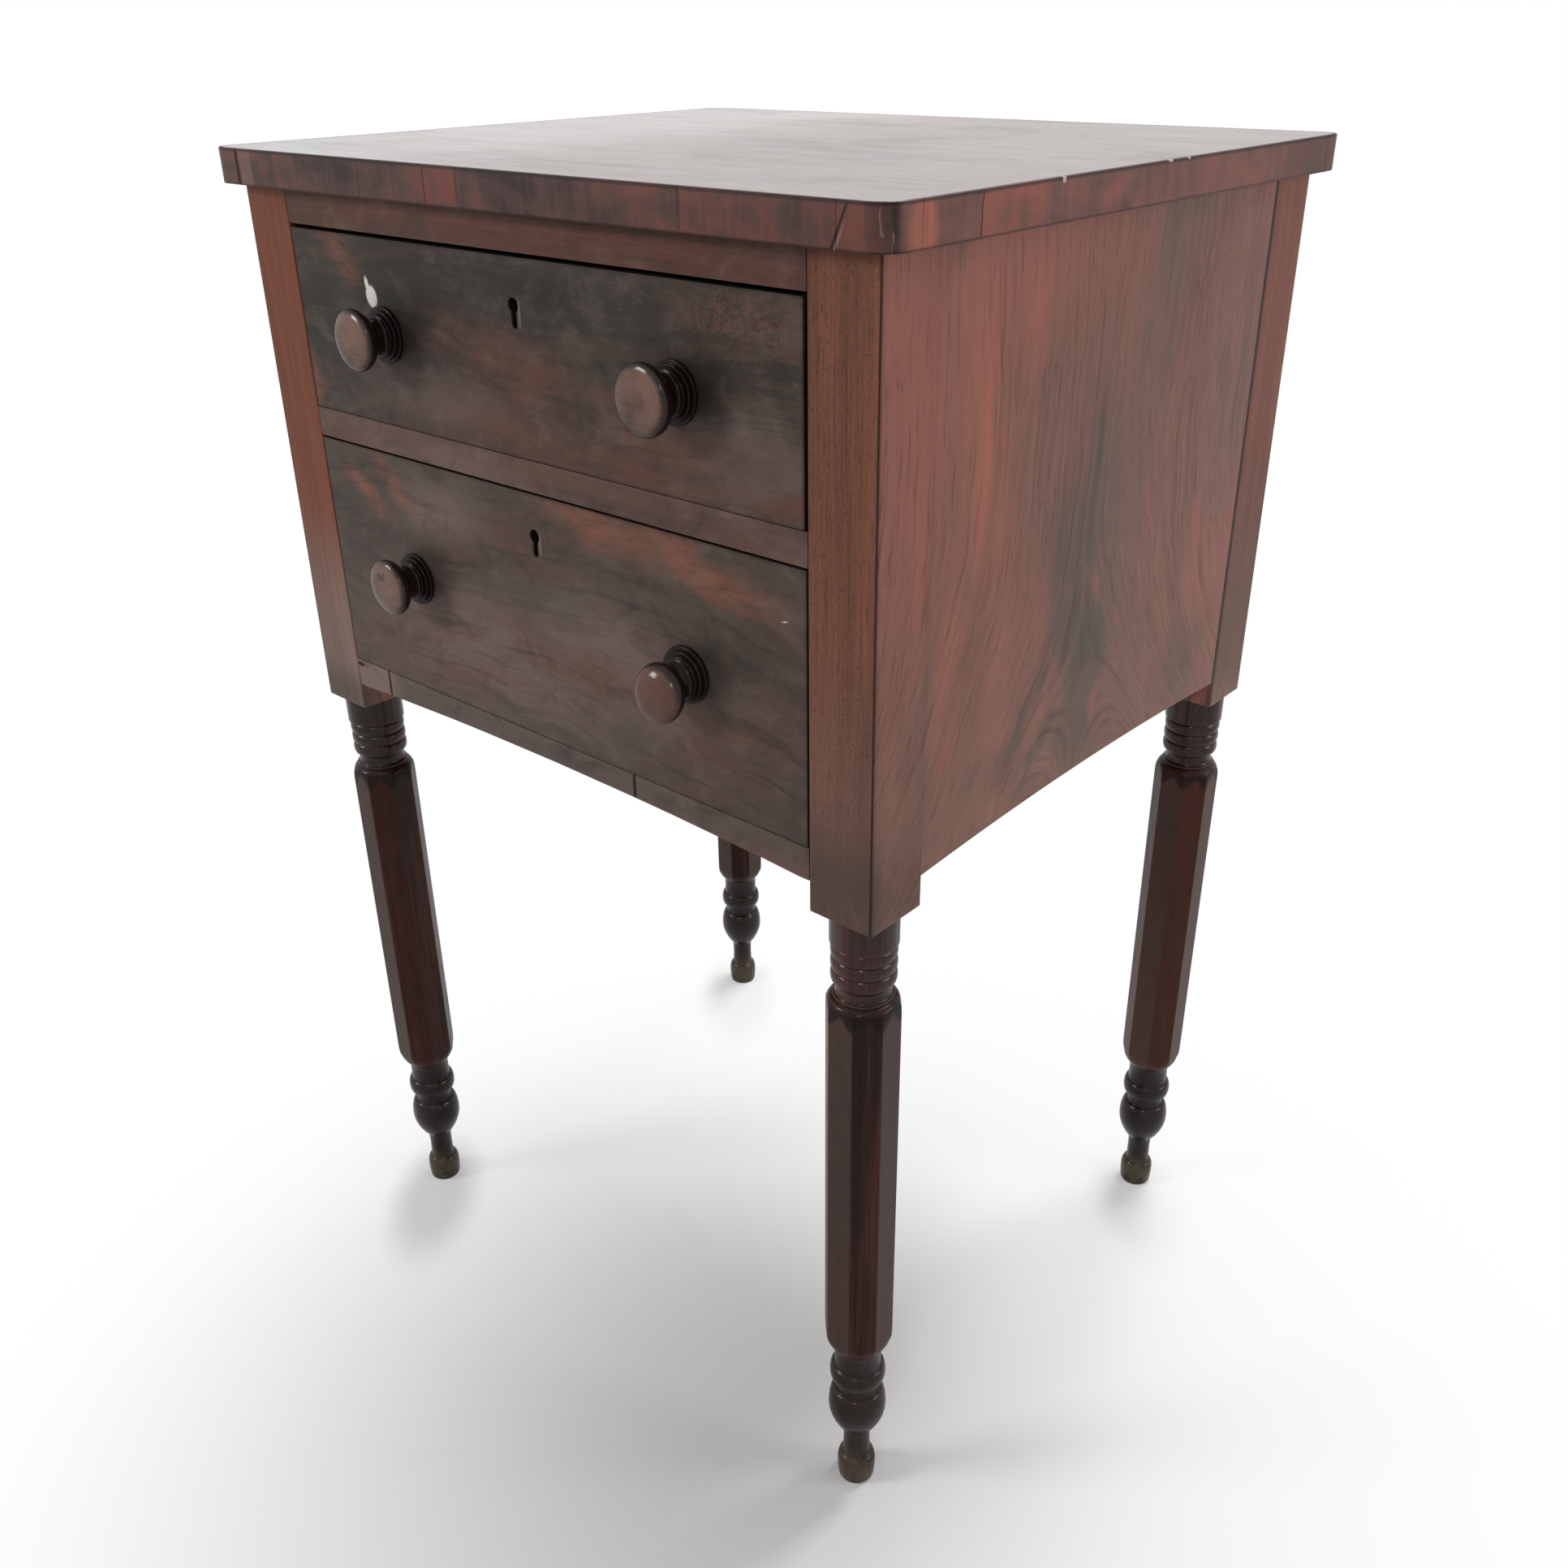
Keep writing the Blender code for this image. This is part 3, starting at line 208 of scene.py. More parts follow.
class WorkTableCaseSizes(PropertyGroup):
    """Edges and corners of the top, the case and the metal."""

    __annotations__ = lengths(
        arris=("Rounding of the planed edges", 0.0004),
        inner_arris=("Rounding of the edges inside the case", 0.0005),
        lock_arris=("Rounding of the lock cases", 0.0003),
        bolt_arris=("Rounding of the bolts", 0.0004),
        screw_arris=("Rounding of the screws", 0.0002),
        top_corner=("Radius of the top's corners", 0.0120),
        top_arris=("Rounding along the top's edges", 0.0006),
        band_thickness=("Veneer round the edge of the top", 0.0015),
        glue_gap=("Joint behind the veneer and at the rear of the side panels", 0.0003),
        skirt_rise=("Rise of the arch under the side panels", 0.0045),
    )


class WorkTableColours(PropertyGroup):
    """Stains of the woods, and the metals of the locks."""

    __annotations__ = colours(
        post_dark=("Dark grain of the posts", 64, 38, 28),
        post_mid=("Middle grain of the posts", 104, 67, 53),
        post_light=("Light grain of the posts", 132, 82, 64),
        post_amber=("Warmer stain of the left front post", 104, 54, 37),
        post_ash=("Greyed foot of the left front post", 126, 104, 96),
        rail_dark=("Dark grain of the front rails", 52, 34, 29),
        rail_mid=("Middle grain of the front rails", 82, 54, 45),
        rail_light=("Light grain of the front rails", 104, 64, 51),
        leg_dark=("Dark grain of the turned legs", 16, 8, 6),
        leg_mid=("Middle grain of the turned legs", 36, 19, 14),
        leg_light=("Light grain of the turned legs", 76, 40, 30),
        # Painted reflection: the shaft facets that face along the table's axes, lighter and greyer than the
        # others
        leg_dull=("Dulled facets of the shafts", 74, 58, 52),
        foot_worn=("Rubbed wood of the feet", 76, 65, 50),
        panel_dark=("Dark grain of the side panels", 98, 66, 58),
        panel_mid=("Middle grain of the side panels", 122, 85, 75),
        panel_light=("Light grain of the side panels", 134, 91, 79),
        panel_orange=("Warm band of the side panels", 164, 97, 78),
        panel_red=("Red drift of the side panels", 150, 94, 83),
        panel_grey=("Grey drift of the side panels", 104, 84, 77),
        panel_umber=("Brown drift low on the side panels", 112, 88, 74),
        plume=("Grey plume of the side panels", 76, 70, 64),
        veneer_dark=("Dark ground of the drawer veneer", 44, 41, 37),
        veneer_mid=("Middle ground of the drawer veneer", 63, 55, 49),
        veneer_light=("Light ground of the drawer veneer", 85, 73, 65),
        veneer_haze=("Pale haze of the drawer veneer", 114, 96, 89),
        veneer_flame=("Red flames of the drawer veneer", 130, 82, 66),
        veneer_brown=("Brown bands of the drawer veneer", 94, 62, 52),
        scrape=("Bare wood in the scrape on the upper drawer", 222, 218, 212),
        keyhole_rim=("Rubbed rim of the keyholes", 150, 140, 130),
        band_dark=("Dark pieces of the edge band", 54, 41, 39),
        band_mid=("Middle pieces of the edge band", 92, 67, 61),
        band_red=("Red pieces of the edge band", 130, 76, 66),
        band_rubbed=("Rubbed corner of the edge band", 150, 128, 114),
        band_nick=("Nicks in the edge band", 200, 192, 186),
        top_dark=("Dark grain of the top", 46, 27, 20),
        top_mid=("Middle grain of the top", 70, 43, 33),
        top_light=("Light grain of the top", 94, 61, 48),
        knob_dark=("Dark grain of the knobs", 36, 23, 18),
        knob_light=("Rubbed grain of the knobs", 114, 84, 71),
        bare_dark=("Late wood of the bare boards inside", 100, 69, 46),
        bare_light=("Early wood of the bare boards inside", 150, 113, 78),
        brass=("Lock plates", 176, 142, 82),
        brass_dull=("Tarnish on the lock plates", 96, 76, 46),
        iron=("Bolts and screws", 92, 88, 84),
        rust=("Brown film on the iron", 84, 56, 40),
        floor=("Studio floor", 224, 224, 224),
    )


# Surfaces

def arc(centre, radii, start, stop, steps):
    """Points of an ellipse's arc, (radius, height), between two angles in degrees."""
    angles = np.radians(np.linspace(start, stop, steps + 1))
    return np.column_stack((centre[0] + radii[0] * np.cos(angles), centre[1] + radii[1] * np.sin(angles)))


def bend(start, handle, end, steps):
    """Points of a curve drawn from start towards handle and into end: (1-t)^2, 2t(1-t) and t^2 shares."""
    share = np.linspace(0, 1, steps + 1)[:, None]
    start, handle, end = map(np.array, (start, handle, end))
    return (1 - share) ** 2 * start + 2 * share * (1 - share) * handle + share ** 2 * end


def bead(high, low, root, crest, steps):
    """Half an ellipse between two heights, out to the crest, or in to it where it is less than the root."""
    return arc((root, (high + low) / 2), (crest - root, (high - low) / 2), 90, -90, steps)


def soften(profile, spacing, blur):
    """The profile at even steps, each point a bell-weighted mean of its neighbours, to round the arrises."""
    steps = np.hypot(*np.diff(profile, axis=0).T)
    run = np.concatenate(([0.0], np.cumsum(steps)))
    even = np.linspace(0.0, run[-1], int(run[-1] / spacing) + 1)
    points = np.column_stack([np.interp(even, run, profile[:, axis]) for axis in (0, 1)])
    reach = int(3 * blur / spacing)
    weights = np.exp(-0.5 * (np.arange(-reach, reach + 1) * spacing / blur) ** 2)
    weights /= weights.sum()
    padded = np.pad(points, ((reach, reach), (0, 0)), mode="reflect", reflect_type="odd")
    return np.column_stack([np.convolve(padded[:, axis], weights, "valid") for axis in (0, 1)])


def thin_out(profile, rows):
    """Rows of a fine profile, close together where it turns and apart where it is straight.

    Returns the (radius, height) rows and how sharply each turns outward, in radians a metre.
    """
    straight_cost = 12.0
    step = np.gradient(profile, axis=0)
    size = np.hypot(step[:, 0], step[:, 1])
    heading = np.unwrap(np.arctan2(step[:, 1], step[:, 0]))
    turn = np.gradient(heading)
    cost = np.cumsum(np.abs(turn) + straight_cost * size)
    spots = np.arange(len(cost))
    picks = np.interp(np.linspace(cost[0], cost[-1], rows), cost, spots)
    chosen = np.column_stack([np.interp(picks, spots, profile[:, axis]) for axis in (0, 1)])
    return chosen, np.interp(picks, spots, -turn / size)


def grid_faces(rows, columns):
    """Four-cornered faces of a grid of points whose columns run round."""
    row, column = np.meshgrid(np.arange(rows - 1) * columns, np.arange(columns), indexing="ij")
    beside = (column + 1) % columns
    below = row + columns
    corners = (row + column, below + column, below + beside, row + beside)
    return np.stack(corners, axis=-1).reshape(-1, 4).tolist()


def skin(node, work, points, body, material, wear=None):
    """A closed mesh over a grid of points (rows, columns, 3) whose columns run round.

    The end rows are one point each, and become poles once doubles are merged.
    """
    mesh = bpy.data.meshes.new(node + "_" + work)
    mesh.from_pydata(points.reshape(-1, 3).tolist(), [], grid_faces(*points.shape[:2]))
    if wear is not None:
        layer = mesh.attributes.new("wear", "FLOAT", "POINT")
        layer.data.foreach_set("value", np.clip(wear, -1, 1).astype(np.float32).ravel())
    shape = bmesh.new()
    shape.from_mesh(mesh)
    bmesh.ops.remove_doubles(shape, verts=shape.verts, dist=1e-6)
    bmesh.ops.recalc_face_normals(shape, faces=shape.faces)
    shape.to_mesh(mesh)
    shape.free()
    finish_piece(node, mesh, body, material, 40.0)


def finish_piece(node, mesh, body, material, crease):
    """Puts a mesh in the scene as a piece of a body, in the place of its node; returns the piece."""
    mesh.shade_smooth()
    mesh.set_sharp_from_angle(angle=math.radians(crease))
    mesh.materials.clear()
    mesh.materials.append(material)
    piece = bpy.data.objects.new(mesh.name, mesh)
    bpy.context.scene.collection.objects.link(piece)
    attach(piece, body)
    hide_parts(node)
    return piece


def eased_copy(node, body, material, arris):
    """The node's own shape, merged and with its flat faces whole, its edges rounded by a Bevel."""
    shape = bmesh.new()
    shape.from_mesh(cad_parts[node].data)
    bmesh.ops.remove_doubles(shape, verts=shape.verts, dist=1e-6)
    bmesh.ops.dissolve_limit(shape, angle_limit=math.radians(0.5), verts=shape.verts, edges=shape.edges)
    mesh = bpy.data.meshes.new(node + "_eased")
    shape.to_mesh(mesh)
    shape.free()
    bevel = finish_piece(node, mesh, body, material, 35.0).modifiers.new("arris", "BEVEL")
    bevel.width = arris
    bevel.segments = 2
    bevel.limit_method = "ANGLE"
    bevel.angle_limit = math.radians(40)
    bevel.use_clamp_overlap = False
    bevel.harden_normals = True


# Legs

def leg_profile(sizes):
    """The turning of one leg as (radius, height), from the post's underside down to the foot's middle."""
    fine = 24
    broad = 32
    shaft = sizes.shaft_flats / 2 / math.cos(math.pi / 8) + sizes.shaft_waste
    z = POST_FOOT - sizes.neck_length
    parts = [np.array([(sizes.neck_radius, POST_FOOT), (sizes.neck_radius, z + sizes.lip_groove)])]
    for _ in range(sizes.ring_count):
        parts.append(bead(z, z - sizes.ring_height, sizes.ring_root, sizes.ring_radius, fine))
        z -= sizes.ring_height
    parts.append(bead(z, z - sizes.cove_height, sizes.ring_root, sizes.cove_radius, fine))
    z -= sizes.cove_height
    parts.append(np.array([(sizes.lip_radius, z), (sizes.lip_radius, z - sizes.lip_height)]))
    z -= sizes.lip_height + sizes.lip_groove
    shoulder = (shaft - sizes.ring_root, sizes.shoulder_height)
    parts.append(arc((sizes.ring_root, z - sizes.shoulder_height), shoulder, 90, 0, broad))

    foot, waist, urn, cove, pinch, ring, ankle = np.cumsum((
        sizes.foot_lower + sizes.foot_upper, sizes.waist_height, sizes.urn_lower, sizes.urn_upper,
        sizes.urn_cove_height, sizes.ankle_ring_height, sizes.ankle_height,
    ))
    handle = (shaft - sizes.shaft_waste, ankle + 0.37 * sizes.shaft_taper)
    parts.append(bend((shaft, ankle + sizes.shaft_taper), handle, (sizes.ankle_root, ankle), broad))
    parts.append(bead(ankle, ring, sizes.ankle_root, sizes.ankle_radius, fine))
    parts.append(bead(ring, pinch, sizes.ankle_root, sizes.ankle_ring_radius, broad))
    parts.append(bead(pinch, cove, sizes.urn_cove_root, sizes.urn_cove_radius, fine))
    reach = sizes.urn_radius - sizes.urn_cove_root
    parts.append(arc((sizes.urn_cove_root, urn), (reach, sizes.urn_upper), 90, 0, broad))
    swell = (sizes.urn_radius, waist + 0.53 * sizes.urn_lower)
    parts.append(bend((sizes.urn_radius, urn), swell, (sizes.waist_root, waist), broad))
    parts.append(bead(waist, foot, sizes.waist_root, sizes.waist_radius, fine))
    reach = sizes.foot_radius - sizes.waist_root
    parts.append(arc((sizes.waist_root, sizes.foot_lower), (reach, sizes.foot_upper), 90, 0, fine))
    reach = sizes.foot_radius - sizes.foot_base
    parts.append(arc((sizes.foot_base, sizes.foot_lower), (reach, sizes.foot_lower), 0, -90, fine))
    return np.concatenate(parts)


def leg_angles(steps):
    """Angles round a leg, drawn together at every sixteenth of a turn, where posts and shafts have edges."""
    pull = 0.82
    share = np.arange(steps) / steps
    share = share - pull * np.sin(2 * math.pi * share) / (2 * math.pi)
    return ((np.arange(16)[:, None] + share) * math.pi / 8).ravel()


def square_reach(angles, half, corners):
    """How far a square with rounded corners reaches at each angle; corners holds the four radii.

    A flat side is half / cos; a corner is where the ray meets the circle set in from both sides.
    """
    radius = np.asarray(corners)[(angles // (math.pi / 2)).astype(int) % 4]
    folded = np.abs((angles + math.pi / 4) % (math.pi / 2) - math.pi / 4)
    flat = half / np.cos(folded)
    inset = half - radius
    along = inset * (np.cos(folded) + np.sin(folded))
    spare = along ** 2 - 2 * inset ** 2 + radius ** 2
    rounded = along + np.sqrt(np.maximum(spare, 0.0))
    return np.where(half * np.tan(folded) > inset, rounded, flat)


def shaft_reach(angles, flats):
    """How far the eight-sided shaft reaches: half its width over a soft maximum of the eight cosines."""
    hardness = 160
    turns = np.cos(angles[:, None] - np.arange(8) * math.pi / 4)
    return flats / 2 / (np.maximum(turns, 0) ** hardness).sum(axis=1) ** (1 / hardness)


def near_edge(angles, spacing, width):
    """A bell of the given width over the edges that lie halfway between multiples of the spacing."""
    return np.exp(-((np.abs(angles % spacing - spacing / 2) / width) ** 2))


def post_rows(sizes, angles, top, half, corners):
    """Reach and height of a post's rows: its closed upper end, nine rows down its sides, its knocked foot."""
    ease = sizes.post_ease
    knock = sizes.post_knock
    post = square_reach(angles, half, corners)
    eased = square_reach(angles, half - ease, np.maximum(corners - ease, sizes.post_crisp))
    reach = [np.zeros_like(angles), eased, post] + [post] * 10
    downs = top + (POST_FOOT - top) * np.linspace(0.1, 0.9, 9)
    height = [top, top, top - ease, *downs, POST_FOOT + knock]
    for turn in np.radians((30, 60, 90)):
        reach.append(square_reach(angles, half - knock * (1 - np.cos(turn)), corners))
        height.append(POST_FOOT + knock * (1 - np.sin(turn)))
    return reach, height


def leg_grid(sizes, centre, top, half, corners):
    """Points and wear of one leg: a square post, its flat underside, the turning cut by the shaft's flats.

    The shaft is the softly rounded lesser of the turned radius and the eight-sided reach.
    """
    angles = leg_angles(8)
    bare = np.zeros_like(angles)
    post, height = post_rows(sizes, angles, top, half, corners)
    post_wear = [near_edge(angles, math.pi / 2, 0.035) * 0.6] * len(post)

    fine = soften(leg_profile(sizes), 0.0002, 0.00035)
    rows, turn = thin_out(fine, 190)
    flats = shaft_reach(angles, sizes.shaft_flats)
    soft = 0.00012
    gap = np.abs(rows[:, :1] - flats)
    turned = np.minimum(rows[:, :1], flats) - soft * np.log1p(np.exp(-gap / soft))
    on_shaft = 1 / (1 + np.exp(-(rows[:, :1] - flats) / 0.0003))
    arris = near_edge(angles, math.pi / 4, 0.03)
    rubbed = np.clip(turn[:, None] / 900, -1, 1) * (1 - on_shaft) + 0.5 * arris * on_shaft

    reach = np.vstack(post + [turned, bare])
    points = np.empty(reach.shape + (3,))
    points[..., 0] = centre[0] + reach * np.cos(angles)
    points[..., 1] = centre[1] + reach * np.sin(angles)
    points[..., 2] = np.concatenate((height, rows[:, 1], [0.0]))[:, None]
    return points, np.vstack(post_wear + [rubbed, bare])


# Knobs

KnobShape = namedtuple("KnobShape", "radius dome bluff dimple droop lean")
KNOB_SHAPES = {
    ("upper", "left"): KnobShape(0.93, 1.0, 0.62, 0.0, 0.0, 0.0),
    ("upper", "right"): KnobShape(0.97, 0.95, 0.55, 0.0004, 0.0, 0.0),
    ("lower", "left"): KnobShape(0.93, 0.95, 0.60, 0.0, 0.0, 0.0),
    ("lower", "right"): KnobShape(0.87, 1.5, 0.85, 0.0, 0.0090, 0.0045),
}


def knob_profile(sizes, radius, dome, bluff):
    """A knob as (radius, distance in front of the drawer), from the middle of its face back to its base.

    The face is a bluff ellipse, radius x cos^bluff and rise x sin^bluff of the turn; behind the hollow neck
    the base steps out in three beads.
    """
    wide = sizes.projection - dome
    step = sizes.base_height + sizes.step_height
    collar = step + sizes.collar_height
    neck = collar + sizes.neck_length
    tuck = radius * 0.30
    turn = np.linspace(math.pi / 2, 0, 65)
    parts = [np.column_stack((radius * np.cos(turn) ** bluff, wide + dome * np.sin(turn) ** bluff))]
    parts.append(arc((radius - tuck, wide), (tuck, sizes.head_edge), 0, -90, 16)[1:])
    underside = (sizes.neck_radius, wide - sizes.head_edge)
    parts.append(bend(parts[-1][-1], underside, (sizes.neck_radius, neck), 20)[1:])
    hollow = sizes.collar_radius - sizes.bead_depth
    parts.append(bend((sizes.neck_radius, neck), (sizes.neck_radius, collar), (hollow, collar), 14)[1:])
    levels = (collar, step, sizes.base_height, sizes.base_gap)
    crests = (sizes.collar_radius, sizes.step_radius, sizes.base_radius)
    for high, low, crest in zip(levels, levels[1:], crests):
        parts.append(bead(high, low, crest - sizes.bead_depth, crest, 10))
    return np.concatenate(parts)


def knob_grid(sizes, centre, back, shape):
    """Points and wear of one knob, turned about the drawer's own depth, with its tenon behind it.

    A worn knob droops and leans: its points sink and move aside in step with their distance from the drawer.
    """
    radius = sizes.head_radius * shape.radius
    fine = soften(knob_profile(sizes, radius, sizes.dome * shape.dome, shape.bluff), 0.00015, 0.00022)
    rows, turn = thin_out(fine, 96)
    on_face = rows[:, 1] > sizes.projection / 2
    rows[:, 1] -= shape.dimple * np.exp(-(rows[:, 0] / sizes.dimple_radius) ** 2) * on_face
    rows[0, 0] = 0.0
    tenon = np.array([(sizes.tenon_radius, sizes.base_gap), (sizes.tenon_radius, back), (0.0, back)])
    profile = np.vstack((rows, tenon))
    angles = np.linspace(0, 2 * math.pi, 72, endpoint=False)
    out = np.repeat(profile[:, 1:], len(angles), axis=1)
    bent = np.clip(out / sizes.projection, 0, None) ** 1.5
    x = centre[0] + profile[:, :1] * np.cos(angles) - shape.lean * bent
    z = centre[2] + profile[:, :1] * np.sin(angles) - shape.droop * bent
    rubbed = np.concatenate((np.clip(turn / 1200, -1, 1), np.zeros(len(tenon))))
    return np.stack((x, centre[1] - out, z), axis=-1), np.repeat(rubbed[:, None], len(angles), axis=1)


# Top

def round_rectangle(low, high, radius, steps):
    """Outline of a rectangle with round corners: four quarter circles joined by straight lines."""
    turns = np.linspace(0, math.pi / 2, steps + 1) + np.arange(4)[:, None] * math.pi / 2
    signs = np.array([(1, 1), (-1, 1), (-1, -1), (1, -1)])
    corners = (low + high) / 2 + signs * ((high - low) / 2 - radius)
    x = corners[:, :1] + radius * np.cos(turns)
    y = corners[:, 1:] + radius * np.sin(turns)
    return np.column_stack((x.ravel(), y.ravel()))


def board_grid(low, high, corner, arris):
    """A round-cornered board: its outline at eight heights, drawn in by a quarter circle at both edges.

    A ring three arrises in keeps both faces flat, and both faces close at their middle.
    """
    low, high = np.array(low), np.array(high)
    quarter = np.linspace(0, math.pi / 2, 4)
    inset = arris * np.append(3.0, 1 - np.sin(quarter))
    lift = arris * np.append(0.0, 1 - np.cos(quarter))
    insets = np.concatenate((inset, inset[::-1]))
    heights = np.concatenate((low[2] + lift, high[2] - lift[::-1]))
    rings = []
    for inward, height in zip(insets, heights):
        outline = round_rectangle(low[:2] + inward, high[:2] - inward, corner - inward, 10)
        rings.append(np.column_stack((outline, np.full(len(outline), height))))
    under = np.tile((low + high) / 2, (len(rings[0]), 1))
    over = under.copy()
    under[:, 2] = low[2]
    over[:, 2] = high[2]
    return np.stack([under] + rings + [over])


def band_section(thickness, low, high, arris):
    """Outline of the edge veneer, (outward, height): a thin rectangle whose outer arrises are rounded."""
    back = np.array([(-thickness, low), (-thickness, high)])
    upper = arc((-arris, high - arris), (arris, arris), 90, 0, 5)
    lower = arc((-arris, low + arris), (arris, arris), 0, -90, 5)
    return np.concatenate((back, upper, lower))


def straight_band(node, outward):
    """Path of a straight band along its outer face, and the outward direction at each of its points."""
    near, far = [np.array(corner[:2]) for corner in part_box(node)]
    outward = np.array(outward, float)
    face = np.where(outward > 0, far, near)
    start = np.where(outward == 0, near, face)
    stop = np.where(outward == 0, far, face)
    path = start + np.linspace(0, 1, 13)[:, None] * (stop - start)
    return path, np.tile(outward, (len(path), 1))


def corner_band(node, end, side, radius):
    """Path and outward directions of a band's corner: straight, round by a quarter circle, straight again."""
    near, far = [np.array(corner[:2]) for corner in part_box(node)]
    sign = np.array((SIGN[side], SIGN[end]))
    outer = np.where(sign > 0, far, near)
    inner = np.where(sign > 0, near, far)
    turns = np.linspace(0, math.pi / 2, 13)
    outward = np.column_stack((np.cos(turns), np.sin(turns))) * sign
    path = outer - sign * radius + outward * radius
    path = np.vstack(([outer[0], inner[1]], path, [inner[0], outer[1]]))
    return path, np.vstack((outward[0], outward, outward[-1]))


def carried(path, outward, section):
    """A section carried along a path: path point + outward direction x width + up x height, ends closed."""
    points = np.empty((len(path) + 2, len(section), 3))
    points[1:-1, :, :2] = path[:, None, :] + outward[:, None, :] * section[None, :, :1]
    points[1:-1, :, 2] = section[:, 1]
    points[0] = points[1].mean(axis=0)
    points[-1] = points[-2].mean(axis=0)
    return points


# Side panels

def side_panel_grid(low, high, sign, rise, arris):
    """A side panel: its section, a thin upright rectangle with eased edges, carried from front to rear.

    The lower edge rises in a slight arch, rise x (1 - share of the half length squared).
    """
    reach = np.concatenate(([low[1]], np.linspace(low[1], high[1] - arris, 41), [high[1]]))
    draw = np.zeros(len(reach))
    draw[-1] = arris
    share = (reach - (low[1] + high[1]) / 2) / ((high[1] - low[1]) / 2)
    bottom = low[2] + rise * np.clip(1 - share ** 2, 0, None)
    outer, inner = (high[0], low[0]) if sign > 0 else (low[0], high[0])
    outside = np.array([1, 1, 1, 0, 0, 0, 0, 0, 0, 1]) > 0
    ease_x = np.array([0, 0, 1, 1, 0, 0, 0, 0, 1, 1])
    ease_z = np.array([1, 1, 0, 0, 1, 1, 1, 1, 0, 0])
    upper = np.array([0, 1, 1, 1, 1, 1, 0, 0, 0, 0]) > 0
    x = np.where(outside, outer - sign * arris * ease_x, inner + sign * arris * ease_x)
    top = high[2] - arris * ease_z - draw[:, None]
    foot = bottom[:, None] + arris * ease_z + draw[:, None]
    points = np.empty((len(reach) + 2, len(x), 3))
    points[1:-1, :, 0] = x - np.where(outside, sign, -sign) * draw[:, None]
    points[1:-1, :, 1] = reach[:, None]
    points[1:-1, :, 2] = np.where(upper, top, foot)
    points[0] = points[1].mean(axis=0)
    points[-1] = points[-2].mean(axis=0)
    return points


# Finishes

Grain = namedtuple("Grain", "colour tone height")
ZERO = (0.0, 0.0, 0.0)


def maths(operation, reflected=False):
    """A method that puts a value and its partner into a Math node, the other way round where reflected."""
    def method(self, *partner):
        values = (*partner, self) if reflected else (self, *partner)
        return self.finish.node("ShaderNodeMath", {"operation": operation}, dict(enumerate(values)))
    return method


class Shade:
    """A value, place or colour on one socket of a finish; arithmetic written on it adds Math nodes."""

    def __init__(self, finish, socket):
        self.finish = finish
        self.socket = socket

    __add__ = maths("ADD")
    __radd__ = maths("ADD", True)
    __sub__ = maths("SUBTRACT")
    __rsub__ = maths("SUBTRACT", True)
    __mul__ = maths("MULTIPLY")
    __rmul__ = maths("MULTIPLY", True)
    __truediv__ = maths("DIVIDE")
    __rtruediv__ = maths("DIVIDE", True)
    __pow__ = maths("POWER")
    __abs__ = maths("ABSOLUTE")
    lesser = maths("MINIMUM")
    greater = maths("MAXIMUM")
    fraction = maths("FRACT")

    def other(self, name):
        """Another output of the node that this value comes from."""
        return Shade(self.finish, self.socket.node.outputs[name])

    def rise(self, low, high):
        """A smooth step from 0 at low to 1 at high, or down where low is the higher."""
        return self.finish.node(
            "ShaderNodeMapRange", {"interpolation_type": "SMOOTHSTEP"},
            {"Value": self, "From Min": low, "From Max": high},
        )

    def ramp(self, *stops):
        """The colour of a ramp of (value, colour) stops."""
        return self.finish.node("ShaderNodeValToRGB", {"stops": stops}, {0: self})

    def stained(self, share, stain):
        """The colour turned into a stain by a share of 0 to 1."""
        return self.finish.mix(share, self, stain)

    def axes(self):
        """The three coordinates of a place."""
        parts = self.finish.node("ShaderNodeSeparateXYZ", None, {0: self})
        return [parts.other(name) for name in "XYZ"]

    def noise(self, scale, detail=2.0, roughness=0.5, distortion=0.0, shift=ZERO):
        """Soft noise on a place, whose three scales are cycles a metre."""
        moved = {"Vector": self, "Location": shift, "Scale": scale}
        spot = self.finish.node("ShaderNodeMapping", None, moved)
        return self.finish.node("ShaderNodeTexNoise", None, {
            "Vector": spot, "Scale": 1.0, "Detail": detail, "Roughness": roughness, "Distortion": distortion,
        })

    def warped(self, scale, reach, shift=ZERO):
        """The place pushed about by a noise, up to half the reach on each axis."""
        swirl = self.noise(scale, shift=shift).other("Color")
        centred = self.finish.node(
            "ShaderNodeVectorMath", {"operation": "SUBTRACT"}, {0: swirl, 1: (0.5, 0.5, 0.5)}
        )
        return self.finish.node(
            "ShaderNodeVectorMath", {"operation": "MULTIPLY_ADD"}, {0: centred, 1: reach, 2: self}
        )

    def blot(self, middle, size, turn=ZERO):
        """A soft spot: 1 in the middle, 0 at the edge of an ellipsoid with the given half sizes."""
        spot = self.finish.node(
            "ShaderNodeMapping", {"vector_type": "TEXTURE"},
            {"Vector": self, "Location": middle, "Rotation": turn, "Scale": size},
        )
        gradient = self.finish.node("ShaderNodeTexGradient", {"gradient_type": "SPHERICAL"}, {0: spot})
        return gradient.other("Fac")


